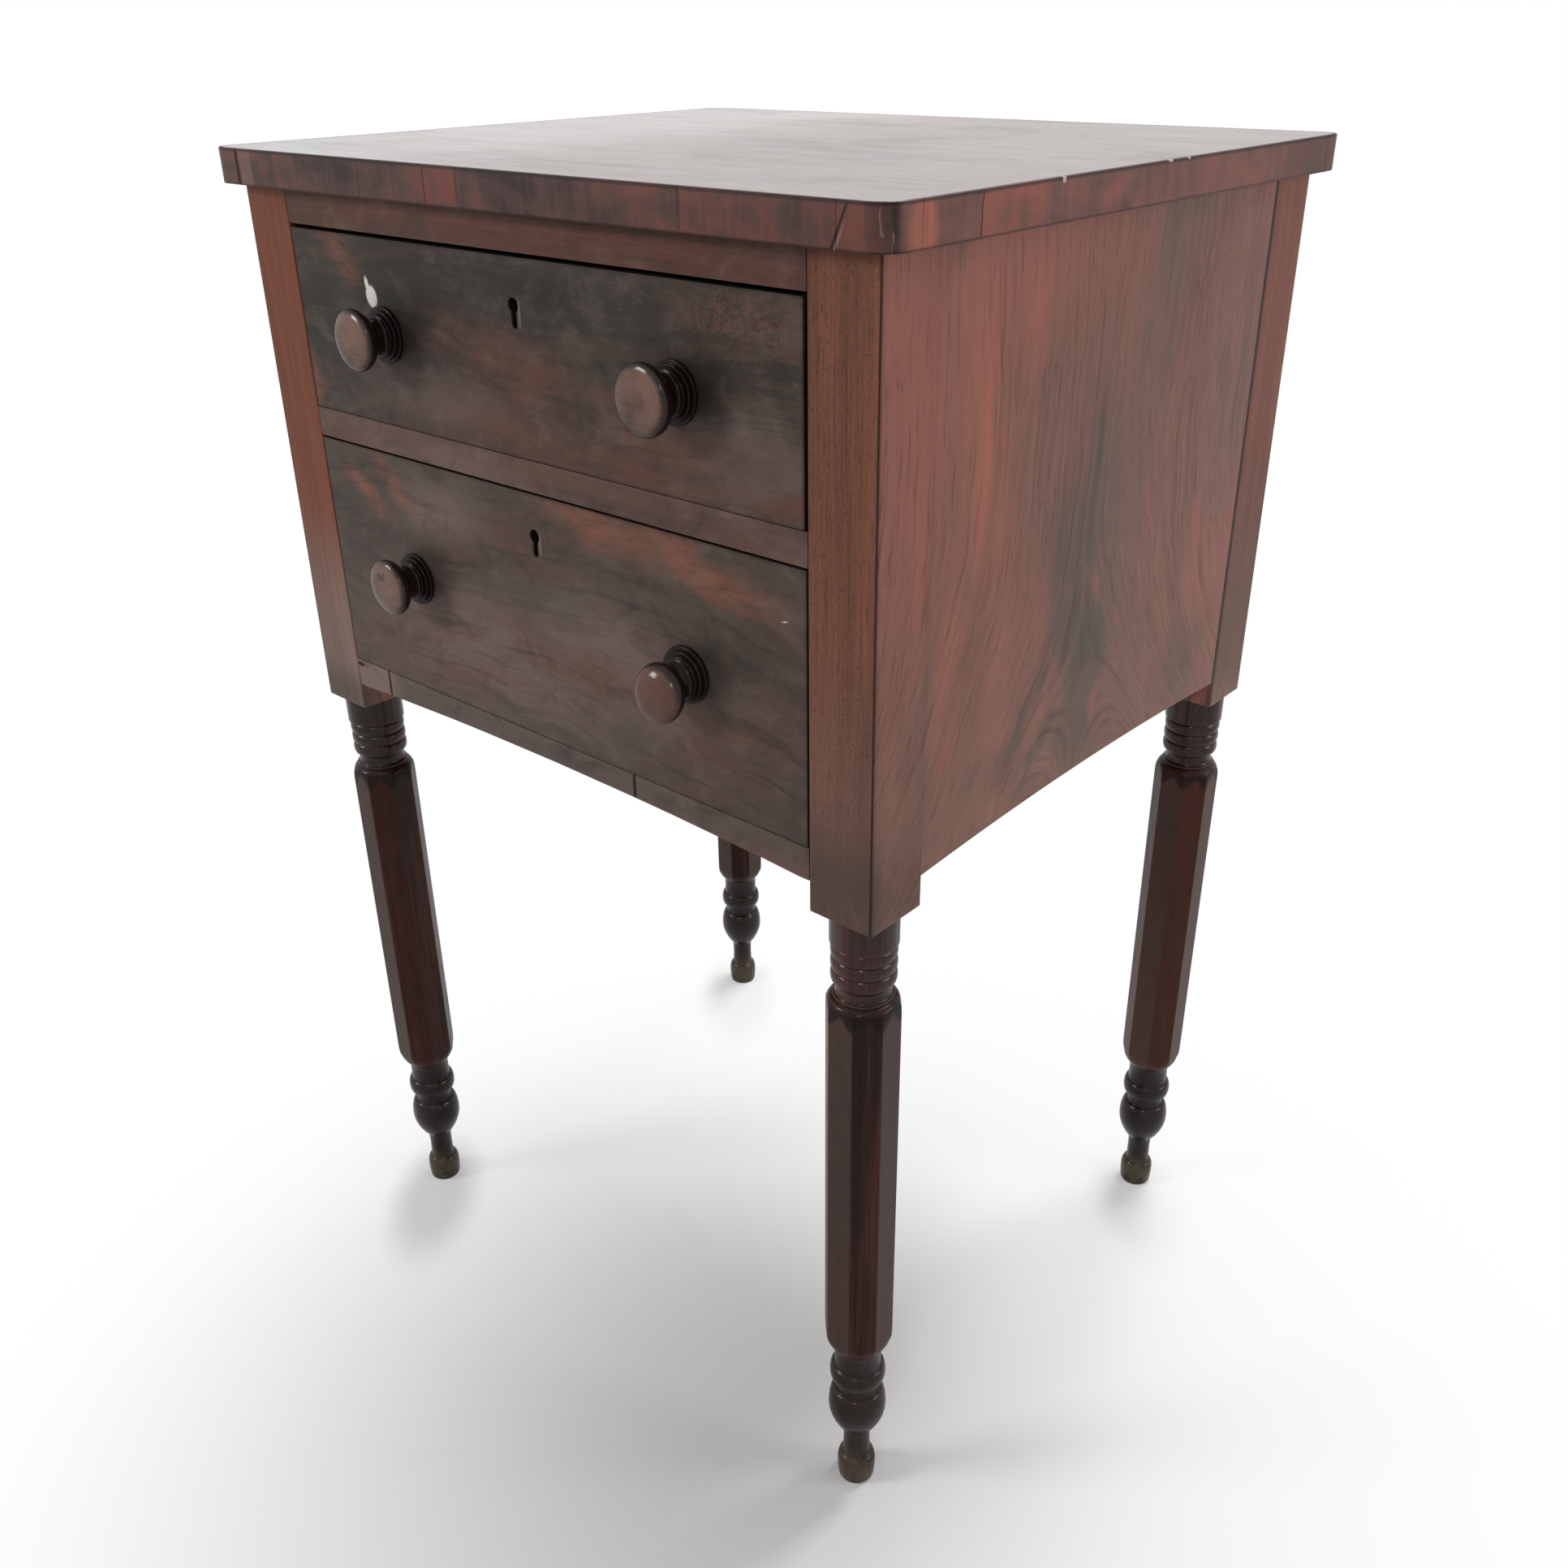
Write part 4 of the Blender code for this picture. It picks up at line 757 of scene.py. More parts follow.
class Finish:
    """A node tree that grows one node at a time; for a material it ends in a Principled shader."""

    def __init__(self, tree):
        self.tree = tree
        tree.nodes.clear()

    def node(self, kind, settings=None, inputs=None):
        """Adds a node: its settings first, then the values or links of its sockets."""
        made = self.tree.nodes.new(kind)
        for key, value in (settings or {}).items():
            if key == "stops":
                self.set_stops(made.color_ramp, value)
            else:
                setattr(made, key, value)
        for key, value in (inputs or {}).items():
            if isinstance(value, Shade):
                self.tree.links.new(value.socket, made.inputs[key])
            else:
                made.inputs[key].default_value = value
        return Shade(self, made.outputs[0]) if len(made.outputs) else None

    def set_stops(self, ramp, stops):
        """Puts the given (place, colour) stops on a ramp."""
        while len(ramp.elements) < len(stops):
            ramp.elements.new(0.5)
        for element, (place, shade) in zip(ramp.elements, stops):
            element.position = place
            element.color = (*shade, 1.0)

    def place(self):
        """Coordinates of the piece, in metres."""
        return self.node("ShaderNodeTexCoord").other("Object")

    def wear(self):
        """The piece's wear: above 0 where it is rubbed, below 0 where dirt gathers."""
        return self.node("ShaderNodeAttribute", {"attribute_name": "wear"}).other("Fac")

    def mix(self, share, first, second):
        """The first colour turned into the second by a share of 0 to 1."""
        first, second = [(*c, 1.0) if isinstance(c, tuple) else c for c in (first, second)]
        settings = {"data_type": "RGBA", "clamp_factor": True}
        made = self.node("ShaderNodeMix", settings, {0: share, 6: first, 7: second})
        return Shade(self, made.socket.node.outputs[2])

    def close(
        self, shade, roughness, height, relief, specular=0.5, polish=0.0, polish_roughness=0.03, metallic=0.0
    ):
        """Ends the finish on a Principled shader: colour, roughness, bump of a height by its relief."""
        bump = self.node("ShaderNodeBump", None, {"Strength": 0.6, "Distance": relief, "Height": height})
        shader = self.node("ShaderNodeBsdfPrincipled", None, {
            "Base Color": shade, "Roughness": roughness, "Normal": bump, "Specular IOR Level": specular,
            "Coat Weight": polish, "Coat Roughness": polish_roughness, "Metallic": metallic,
        })
        self.node("ShaderNodeOutputMaterial", None, {"Surface": shader})


def finish_named(context, name, recipe):
    """The material of that name, mixed by its recipe from the scene's colours when it is first asked for."""
    if name not in bpy.data.materials:
        kept = context.scene.work_table_colours
        stains = {key: tuple(getattr(kept, key)) for key in WorkTableColours.__annotations__}
        material = bpy.data.materials.new(name)
        material.use_nodes = True
        recipe(Finish(material.node_tree), SimpleNamespace(**stains))
    return bpy.data.materials[name]


def toned(stain, share):
    """A stain at a share of its strength."""
    return tuple(np.array(stain) * share)


def strongest(masks):
    """The greatest of several masks."""
    return reduce(Shade.greater, masks)


def side_spots(place, rows):
    """Soft spots on the sides, joined; a row is (y, z, half length, half height, turn, strength)."""
    return strongest(
        place.blot((0.0, y, z), (1.0, long, tall), (turn, 0.0, 0.0)) * strength
        for y, z, long, tall, turn, strength in rows
    )


def front_spots(place, rows):
    """Soft spots on the drawers' plane, joined; a row is (x, z, half length, half height, turn)."""
    spots = strongest(
        place.blot((x, FRONT, z), (long, 0.3, tall), (0.0, turn, 0.0)) for x, z, long, tall, turn in rows
    )
    return spots.rise(0.0, 0.85)


def drawn_out(axis, across, along):
    """Scales of a pattern that is drawn out along one axis."""
    scale = [across] * 3
    scale[axis] = along
    return scale


def wood(place, axis, tones, figure, weights=(0.45, 0.33, 0.22), spread=(0.36, 0.5, 0.64)):
    """Straight-grained wood along one axis: broad figure, growth streaks, fibres and open pores."""
    broad = place.noise(drawn_out(axis, figure, figure / 8), 2.0, 0.5, 0.6)
    streak = place.noise(drawn_out(axis, 115.0, 3.2), 3.0, 0.55, 0.2)
    fibre = place.noise(drawn_out(axis, 640.0, 14.0), 2.0, 0.6)
    pores = place.noise(drawn_out(axis, 1500.0, 60.0), 1.0).rise(0.60, 0.72)
    tone = broad * weights[0] + streak * weights[1] + fibre * weights[2]
    shade = tone.ramp(*zip(spread, tones)).stained(pores * 0.55, toned(tones[0], 0.55))
    return Grain(shade, tone, fibre * 0.5 + streak * 0.3 - pores * 0.6)


def panel_wood(place, stains):
    """Upright figured veneer of the sides: a warm band in front, a feathered grey plume in the middle.

    Soft drifts of red and grey lie under fine upright grain; the plume is long spots pushed about by noise.
    """
    swept = place.warped((14.0, 14.0, 9.0), (0.024, 0.024, 0.024))
    curled = swept.warped((48.0, 48.0, 24.0), (0.009, 0.009, 0.008))
    x, y, z = swept.axes()
    drop = (0.60 - z).greater(0.0)
    fanned = y + drop * drop * (1.0 - y.rise(-0.07, 0.05) * 2.0) * 2.2
    fan = place.finish.node("ShaderNodeCombineXYZ", None, {"X": x, "Y": fanned, "Z": z})
    tones = (stains.panel_dark, stains.panel_mid, stains.panel_light)
    grain = wood(fan, UPRIGHT, tones, 22.0, (0.36, 0.32, 0.32))
    drift = swept.noise((11.0, 11.0, 3.4), 2.0, 0.5, 0.3, (5.0, 2.0, 0.0))
    ragged = fan.noise((130.0, 130.0, 7.0), 3.0, 0.6, 0.3).rise(0.32, 0.66)
    shade = grain.colour.stained(drift.rise(0.50, 0.68) * 0.75, stains.panel_red)
    shade = shade.stained(drift.rise(0.48, 0.32) * 0.60, stains.panel_grey)
    low = place.axes()[2].rise(0.53, 0.42) * (0.5 + ragged * 0.5)
    shade = shade.stained(low * 0.6, stains.panel_umber)

    front = side_spots(swept, [
        (-0.170, 0.640, 0.070, 0.14, 0.0, 1.0), (-0.090, 0.690, 0.110, 0.070, 0.0, 1.0),
    ])
    shade = shade.stained(front.rise(0.0, 0.8) * 0.75, stains.panel_red)
    band = side_spots(curled, [
        (-0.107, 0.612, 0.030, 0.105, 0.10, 1.0), (-0.126, 0.520, 0.020, 0.10, 0.0, 0.7),
        (-0.070, 0.660, 0.016, 0.05, 0.0, 0.6), (-0.150, 0.560, 0.010, 0.08, 0.0, 0.5),
    ])
    shade = shade.stained(band.rise(0.0, 0.8) * (0.35 + ragged * 0.65) * 0.9, stains.panel_orange)
    haze = side_spots(swept, [
        (0.130, 0.590, 0.06, 0.13, 0.0, 1.1), (-0.004, 0.560, 0.055, 0.12, 0.0, 0.75),
    ])
    shade = shade.stained(haze.rise(0.0, 0.9) * (0.5 + ragged * 0.5), stains.panel_grey)
    dusk = side_spots(swept, [
        (0.110, 0.450, 0.060, 0.040, 0.6, 0.9), (-0.132, 0.697, 0.012, 0.014, 0.0, 0.8),
        (-0.080, 0.446, 0.030, 0.024, 0.0, 0.8),
    ])
    shade = shade.stained(dusk.rise(0.0, 0.9) * 0.6, stains.plume)

    trunk = side_spots(curled, [
        (-0.006, 0.590, 0.028, 0.060, 0.10, 0.65), (-0.024, 0.556, 0.046, 0.046, 0.0, 0.95),
        (-0.020, 0.514, 0.027, 0.044, -0.1, 1.0), (-0.003, 0.484, 0.030, 0.048, -0.15, 1.1),
        (-0.010, 0.448, 0.030, 0.034, 0.0, 0.9), (-0.042, 0.487, 0.0075, 0.040, -0.45, 0.75),
        (-0.062, 0.460, 0.0075, 0.036, -0.60, 0.80), (-0.037, 0.456, 0.0075, 0.032, -0.50, 0.75),
        (-0.052, 0.438, 0.0070, 0.022, -0.35, 0.7), (0.036, 0.515, 0.0050, 0.045, 0.80, 0.35),
    ])
    islet = side_spots(curled, [
        (0.002, 0.523, 0.006, 0.018, 0.3, 1.0), (0.008, 0.452, 0.006, 0.018, -0.2, 1.0),
    ])
    plume = trunk.rise(0.0, 0.66) * (0.40 + ragged * 0.60) * (1.0 - islet.rise(0.0, 0.7) * 0.8)
    shade = shade.stained(plume * 0.9, stains.plume)
    shade = shade.stained(islet.rise(0.0, 0.9) * (0.1 + ragged * 0.35), stains.panel_orange)
    lines = fan.noise((420.0, 420.0, 9.0), 2.0, 0.6, 0.3)
    shade = shade.stained(lines.rise(0.54, 0.70) * 0.42, toned(stains.panel_dark, 0.5))
    shade = shade.stained(lines.rise(0.46, 0.30) * 0.22, toned(stains.panel_light, 1.5))
    return Grain(shade, grain.tone, grain.height)


def post_stain(place, grain, pebble, scuff, stains):
    """Colour of the posts: upright red-brown grain, greyed and scuffed towards the foot.

    The side veneer runs on over the outside of the front posts. The left front one is amber, and ashen below.
    """
    x, y, z = place.axes()
    shade = grain.colour.stained(z.rise(0.56, 0.44) * 0.55, stains.panel_grey)
    shade = shade.stained(z.rise(0.425, 0.405) * scuff.rise(0.40, 0.62) * 0.8, stains.panel_red)
    shade = shade.stained(pebble.rise(0.50, 0.72) * 0.52, toned(stains.post_dark, 0.7))
    shade = shade.stained(pebble.rise(0.46, 0.30) * 0.28, stains.post_light)

    outside = abs(x).rise(VENEER_EDGE, VENEER_EDGE + 0.0006)
    veneer = panel_wood(place, stains).colour
    veneer = veneer.stained(z.rise(0.45, 0.41) * (0.2 + scuff * 0.5), stains.post_dark)
    shade = shade.stained(outside * y.rise(0.0, -0.01), veneer)
    behind = outside * y.rise(0.0, 0.01)
    shade = shade.stained(behind * z.rise(0.44, 0.60) * 0.45, toned(stains.panel_red, 0.85))
    shade = shade.stained(behind * z.rise(0.58, 0.42) * 0.45, toned(stains.panel_umber, 0.8))

    face = y.rise(FRONT + 0.010, FRONT + 0.002)
    left = x.rise(-0.17, -0.18) * face
    streaky = grain.tone.rise(0.38, 0.62)
    amber = place.finish.mix(streaky, toned(stains.post_amber, 0.68), toned(stains.post_amber, 1.30))
    shade = shade.stained(left * 0.7, amber)
    ash = place.finish.mix(streaky, toned(stains.post_ash, 0.80), toned(stains.post_ash, 1.18))
    shade = shade.stained(z.rise(0.54, 0.44) * left * 0.85, ash)
    right = x.rise(0.17, 0.18) * face
    shade = shade.stained(z.rise(0.470, 0.410) * right * 0.75, stains.veneer_mid)
    return shade.stained(z.rise(0.430, 0.405) * left * (0.4 + scuff * 0.6), stains.veneer_mid)


def turned_stain(place, grain, pebble, scuff, stains):
    """Colour of the turned legs, with the masks of their shafts and of the black turnings above and below.

    The facets that face along the table's axes are painted lighter and greyer, a painted reflection, each up
    to a tongue under the shoulder, and some legs are redder than the others.
    """
    x, y, z = place.axes()
    shade = (grain.tone + (pebble - 0.5) * 0.10).ramp(
        (0.36, stains.leg_dark), (0.50, stains.leg_mid), (0.64, stains.leg_light)
    )
    shaft = z.rise(0.108, 0.114) * z.rise(0.352, 0.346)
    aside = abs(abs(x) - LEG_X)
    along = abs(abs(y - CASE_Y) - (REAR_LEG_Y - CASE_Y))
    ratio = aside.lesser(along) / aside.greater(along)
    flat = ratio.rise(0.44, 0.39)
    heart = ratio.rise(0.39, 0.0).greater(ratio.rise(0.44, 1.0))
    tongue = (z - heart * 0.006).rise(0.340, 0.336)
    reddish = x.rise(0.1, 0.15) * y.rise(0.0, 0.1) * shaft
    shade = shade.stained(reddish * (0.35 + scuff * 0.5), stains.leg_light)
    leftmost = x.rise(-0.1, -0.15) * y.rise(0.0, -0.1)
    shade = shade.stained(leftmost * shaft * (1.0 - flat) * (0.1 + scuff * 0.5), stains.leg_light)
    turned = z.rise(0.110, 0.104).greater(z.rise(0.353, 0.349) * (1.0 - tongue) * shaft)
    shade = shade.stained(turned * 0.75, stains.leg_dark)
    # Painted reflection: facets facing along the table's axes are lightened and greyed as if the surroundings
    # shone in them
    painted_sheen_facet = flat * shaft * tongue * (1.0 - x.rise(-0.195, -0.191) * leftmost * 0.75)
    shade = shade.stained(painted_sheen_facet * (0.40 + scuff * 0.5), stains.leg_dull)
    return shade, shaft, turned


def mix_leg(finish, stains):
    """Legs: posts above, nearly black turning below, red where rubbed, with feet worn bare.

    The edge of the side veneer shows as a dark line down the front posts.
    """
    place = finish.place()
    x, y, z = place.axes()
    wear = finish.wear()
    tones = (stains.post_dark, stains.post_mid, stains.post_light)
    grain = wood(place, UPRIGHT, tones, 26.0, (0.40, 0.30, 0.30), (0.35, 0.5, 0.66))
    pebble = place.noise((800.0, 800.0, 480.0), 3.0, 0.65, 0.6)
    scuff = place.noise((150.0, 150.0, 60.0), 3.0, 0.6)
    shade, shaft, turned = turned_stain(place, grain, pebble, scuff, stains)
    post = post_stain(place, grain, pebble, scuff, stains)
    shade = shade.stained(z.rise(POST_FOOT - 0.001, POST_FOOT + 0.001), post)
    seam = abs(abs(x) - VENEER_EDGE).rise(0.0008, 0.0003) * y.rise(FRONT + 0.0012, FRONT + 0.0006)
    shade = shade.stained(seam * z.rise(0.398, 0.399) * 0.85, stains.leg_dark)
    rubbed = (wear.greater(0.0) * (0.3 + scuff)).lesser(0.8) * (1.0 - turned * 0.6)
    shade = shade.stained(rubbed * (0.25 + z.rise(0.398, 0.39) * 0.4), stains.leg_light)
    darkening = (0.0 - wear).rise(0.05, 0.8)
    shade = shade.stained(darkening * 0.8, toned(stains.leg_dark, 0.4))
    bare = z.rise(0.034, 0.012) * scuff.rise(0.30, 0.55)
    shade = shade.stained(bare * 0.85, stains.foot_worn)
    above = z.rise(0.39, 0.41)
    roughness = 0.30 + scuff * 0.16 + darkening * 0.25 + above * 0.12
    polish = (0.08 + z.rise(0.40, 0.396) * 0.22) * (1.0 - shaft * 0.9)
    finish.close(shade, roughness, grain.height + pebble * 0.5 * above, 0.00025, 0.09, polish, 0.12)


def mix_case(finish, stains):
    """Front rails with the grain along them, with two dark slits and a knocked corner in the lower rail."""
    place = finish.place()
    z = place.axes()[2]
    tones = (stains.rail_dark, stains.rail_mid, stains.rail_light)
    grain = wood(place, ACROSS, tones, 34.0, (0.44, 0.30, 0.26))
    drift = place.noise((9.0, 9.0, 40.0), 3.0).rise(0.42, 0.66)
    shade = grain.colour.stained(drift * 0.5, stains.veneer_brown)
    lower = drawer_ground(place, stains, LOWER_FIGURE)[1].colour.stained(0.45, stains.veneer_haze)
    shade = shade.stained(z.rise(0.440, 0.434) * 0.95, lower)
    red = place.blot((0.150, FRONT, 0.418), (0.06, 0.1, 0.02)).rise(0.0, 0.6) * drift
    shade = shade.stained(red * 0.7, stains.veneer_flame)
    pale = place.blot((-0.170, FRONT, 0.425), (0.035, 0.1, 0.03)).rise(0.0, 0.5)
    shade = shade.stained(pale * 0.75, stains.post_ash)
    centre = z.rise(0.568, 0.570) * z.rise(0.589, 0.587)
    shade = shade.stained(centre * (0.25 + drift * 0.35), stains.veneer_haze)
    shade = smoked(place, shade, stains)
    slit = strongest((
        place.blot((-0.149, FRONT, 0.4245), (0.0018, 0.02, 0.016)),
        place.blot((0.063, FRONT, 0.4260), (0.0018, 0.02, 0.016)),
        place.blot((-0.178, FRONT, 0.4300), (0.006, 0.02, 0.0022)),
    ))
    shade = shade.stained(slit.rise(0.15, 0.5), stains.leg_dark)
    scuff = place.noise((120.0, 120.0, 120.0), 3.0)
    finish.close(shade, 0.38 + scuff * 0.16, grain.height, 0.00022, 0.12)


def mix_panel(finish, stains):
    """The side panels' veneer under satin varnish, with a dark joint along the rear post."""
    place = finish.place()
    grain = panel_wood(place, stains)
    scuff = place.noise((90.0, 90.0, 40.0), 3.0)
    joint = place.axes()[1].rise(REAR_POST - 0.0039, REAR_POST - 0.0025)
    shade = grain.colour.stained(joint, stains.leg_dark)
    finish.close(shade, 0.40 + scuff * 0.16, grain.height - joint * 2.0, 0.00018, 0.16)


def drawer_ground(place, stains, shift):
    """Dark crotch veneer: curling grain, upright ribbons and fine fibres on a grey-brown ground.

    Returns the warped place, the grain, and a ragged mask for the flames and bands laid over it.
    """
    swept = place.warped((13.0, 13.0, 16.0), (0.05, 0.02, 0.035), shift)
    curl = swept.noise((30.0, 30.0, 90.0), 3.0, 0.6, 0.5, shift)
    ribbon = swept.noise((75.0, 75.0, 14.0), 2.0, 0.5, 0.3, shift)
    fibre = swept.noise((90.0, 300.0, 640.0), 3.0, 0.65, 0.0, shift)
    cloud = place.noise((9.0, 9.0, 13.0), 2.0, 0.5, 0.4, shift)
    mottle = place.noise((60.0, 60.0, 75.0), 4.0, 0.65, 0.8, shift)
    tone = curl * 0.26 + ribbon * 0.12 + fibre * 0.20 + cloud * 0.22 + mottle * 0.20
    shade = tone.ramp((0.40, stains.veneer_dark), (0.50, stains.veneer_mid), (0.62, stains.veneer_light))
    ragged = (curl * 0.6 + fibre * 0.4).rise(0.36, 0.64)
    return swept, Grain(shade, tone, curl * 0.3 + fibre * 0.6), ragged


def smoked(place, shade, stains):
    """A colour under the cloudy stain of the front, dark and pale by turns."""
    smoke = place.noise((38.0, 38.0, 55.0), 4.0, 0.65, 0.7, (2.0, 5.0, 1.0))
    shade = shade.stained(smoke.rise(0.50, 0.72) * 0.5, stains.veneer_dark)
    return shade.stained(smoke.rise(0.50, 0.30) * 0.3, stains.veneer_haze)


def mix_upper_drawer(finish, stains):
    """Upper drawer: red flame over the left knob, brown middle, red foot, orange flecks upper right."""
    place = finish.place()
    swept, ground, ragged = drawer_ground(place, stains, UPPER_FIGURE)
    haze = front_spots(swept, [(0.150, 0.610, 0.080, 0.034, 0.0), (-0.060, 0.602, 0.080, 0.022, 0.0)])
    shade = ground.colour.stained(haze * 0.45, stains.veneer_haze)
    dusk = front_spots(swept, [
        (0.120, 0.644, 0.045, 0.020, 0.0), (-0.080, 0.655, 0.070, 0.060, 0.0),
        (0.020, 0.668, 0.080, 0.018, 0.0), (-0.160, 0.635, 0.050, 0.050, 0.0),
    ])
    shade = shade.stained(dusk * (0.6 + ragged * 0.3), toned(stains.veneer_dark, 0.85))
    brown = front_spots(swept, [
        (-0.010, 0.626, 0.085, 0.032, 0.25), (0.035, 0.594, 0.170, 0.026, 0.0),
        (0.160, 0.592, 0.050, 0.012, -0.1), (0.090, 0.615, 0.060, 0.020, 0.3),
    ])
    shade = shade.stained(brown * (0.45 + ragged * 0.55) * 0.9, stains.veneer_brown)
    flame = front_spots(swept, [(-0.134, 0.670, 0.034, 0.012, 0.55), (-0.184, 0.602, 0.014, 0.022, 0.0)])
    shade = shade.stained(flame * (0.25 + ragged * 0.75) * 0.7, stains.veneer_flame)
    fleck = front_spots(place, [(0.146, 0.668, 0.060, 0.020, 0.0)])
    speck = place.noise((520.0, 520.0, 620.0), 3.0, 0.7).rise(0.40, 0.66)
    shade = shade.stained(fleck * speck * 0.42, stains.veneer_flame)
    chip = place.blot((-0.1142, FRONT, 0.6525), (0.0060, 0.02, 0.0074), (0.0, -0.25, 0.0))
    smear = place.blot((-0.1172, FRONT, 0.6585), (0.0026, 0.02, 0.0060), (0.0, -0.15, 0.0))
    finish_drawer(finish, "upper", place, shade, ground, chip.greater(smear * 0.62), stains)


def mix_lower_drawer(finish, stains):
    """Lower drawer: two red flames at the left, a red band falling to the right, brown arcs below."""
    place = finish.place()
    swept, ground, ragged = drawer_ground(place, stains, LOWER_FIGURE)
    shade = ground.colour.stained(0.5, stains.veneer_light)
    haze = front_spots(swept, [
        (-0.040, 0.475, 0.170, 0.060, 0.0), (0.060, 0.490, 0.110, 0.045, 0.2),
        (-0.080, 0.545, 0.060, 0.030, 0.0),
    ])
    shade = shade.stained(haze * 0.75, stains.veneer_haze)
    dusk = front_spots(swept, [
        (-0.150, 0.506, 0.040, 0.030, 0.0), (0.150, 0.512, 0.055, 0.035, 0.0),
        (-0.064, 0.528, 0.045, 0.022, 0.0),
    ])
    shade = shade.stained(dusk * 0.5, stains.veneer_mid)
    brown = front_spots(swept, [
        (-0.080, 0.464, 0.130, 0.036, -0.08), (0.015, 0.484, 0.120, 0.030, 0.1),
        (0.130, 0.468, 0.090, 0.038, -0.45), (-0.010, 0.540, 0.060, 0.024, 0.2),
    ])
    shade = shade.stained(brown * ragged * 0.75, stains.veneer_brown)
    band = front_spots(swept, [(0.045, 0.560, 0.080, 0.016, 0.08), (0.118, 0.553, 0.070, 0.014, 0.40)])
    shade = shade.stained(band * (0.40 + ragged * 0.60) * 0.9, stains.veneer_flame)
    flame = front_spots(swept, [(-0.150, 0.540, 0.028, 0.012, 0.65), (-0.120, 0.553, 0.034, 0.013, 0.5)])
    shade = shade.stained(flame * (0.35 + ragged * 0.65) * 0.9, stains.veneer_flame)
    chip = place.blot((0.168, FRONT, 0.543), (0.0040, 0.02, 0.0007), (0.0, -0.25, 0.0)) * 0.4
    finish_drawer(finish, "lower", place, shade, ground, chip, stains)


def finish_drawer(finish, drawer, place, shade, ground, chip, stains):
    """Common end of the drawer finishes: smoke, grain lines, pale chip, a dark outline of painted shade, a
    painted shadow by each knob.

    Behind the face the edges and holes are painted dark as shade, and further in the wood is bare.
    """
    x, y, z = place.axes()
    low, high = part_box(drawer + "_drawer_front")
    shade = smoked(place, shade, stains)
    swept = place.warped((5.0, 5.0, 6.0), (0.05, 0.02, 0.07))
    streak = swept.noise((9.0, 9.0, 190.0), 3.0, 0.6)
    shade = shade.stained(streak.rise(0.50, 0.68) * 0.30, toned(stains.veneer_dark, 0.6))
    shade = shade.stained(streak.rise(0.50, 0.34) * 0.22, stains.veneer_brown)
    # Painted shade: a dark band about two millimetres wide round the edge of each front, beside the gaps
    inside = (x - low.x).lesser(high.x - x).lesser((z - low.z).lesser(high.z - z))
    shade = shade.stained(inside.rise(0.0020, 0.0) * 0.3, toned(stains.veneer_dark, 0.4))
    chipped = chip.rise(0.12, 0.40)
    shade = shade.stained(chipped, stains.scrape)
    # Painted shadow: a dark blot up and to the right of each knob
    for side in SIDES:
        knob = middle("{}_knob_{}".format(drawer, side))
        darkening = place.blot((knob.x + 0.014, FRONT, knob.z + 0.006), (0.030, 0.02, 0.025))
        shade = shade.stained(darkening.rise(0.0, 0.8) * 0.5, toned(stains.veneer_dark, 0.6))
    rim = place.blot((0.0042, FRONT, high.z - 0.0255), (0.0012, 0.02, 0.0090)).rise(0.1, 0.5)
    shade = shade.stained(rim * 0.35, stains.keyhole_rim)
    # Painted shade: the front's edges in the gaps and the walls of its holes, from just behind the face
    shade = shade.stained(y.rise(FRONT + 0.0006, FRONT + 0.0014), toned(stains.veneer_dark, 0.45))
    bare = wood(place, ACROSS, (stains.bare_dark, stains.bare_light, stains.bare_light), 20.0)
    shade = shade.stained(y.rise(FRONT + 0.0080, FRONT + 0.0110), bare.colour)
    scuff = place.noise((140.0, 140.0, 140.0), 3.0, 0.6)
    finish.close(shade, 0.38 + scuff * 0.18 + chipped * 0.2, ground.height, 0.0002, 0.12)


def mix_top(finish, stains):
    """Old polished top: long grain, clouded polish, fine scratches and one dark spot."""
    place = finish.place()
    tones = (stains.top_dark, stains.top_mid, stains.top_light)
    grain = wood(place.warped((5.0, 5.0, 5.0), (0.02, 0.02, 0.0)), ACROSS, tones, 14.0)
    cloud = place.noise((9.0, 15.0, 9.0), 5.0, 0.62, 0.8)
    scratch = place.noise((40.0, 900.0, 40.0), 1.0).rise(0.66, 0.78)
    spot = place.blot((0.055, 0.020, BAND_HIGH.z), (0.006, 0.004, 0.02)).rise(0.1, 0.5)
    shade = grain.colour.stained(spot * 0.8, stains.leg_dark)
    worn = cloud.rise(0.50, 0.72)
    shade = shade.stained(worn * 0.3, stains.top_light)
    streak = place.noise((7.0, 90.0, 7.0), 3.0, 0.6, 0.4)
    leftward = place.axes()[0].rise(0.02, -0.14)
    polish = (leftward * 0.4 + cloud * 1.3 + streak * 0.5 - 0.70).greater(0.0).lesser(0.85)
    roughness = 0.20 + worn * 0.12 + scratch * 0.1 + grain.tone * 0.06
    height = grain.height * 0.3 + cloud * 0.5 - scratch * 0.2
    finish.close(shade, roughness, height, 0.00016, 0.5, polish, 0.18)


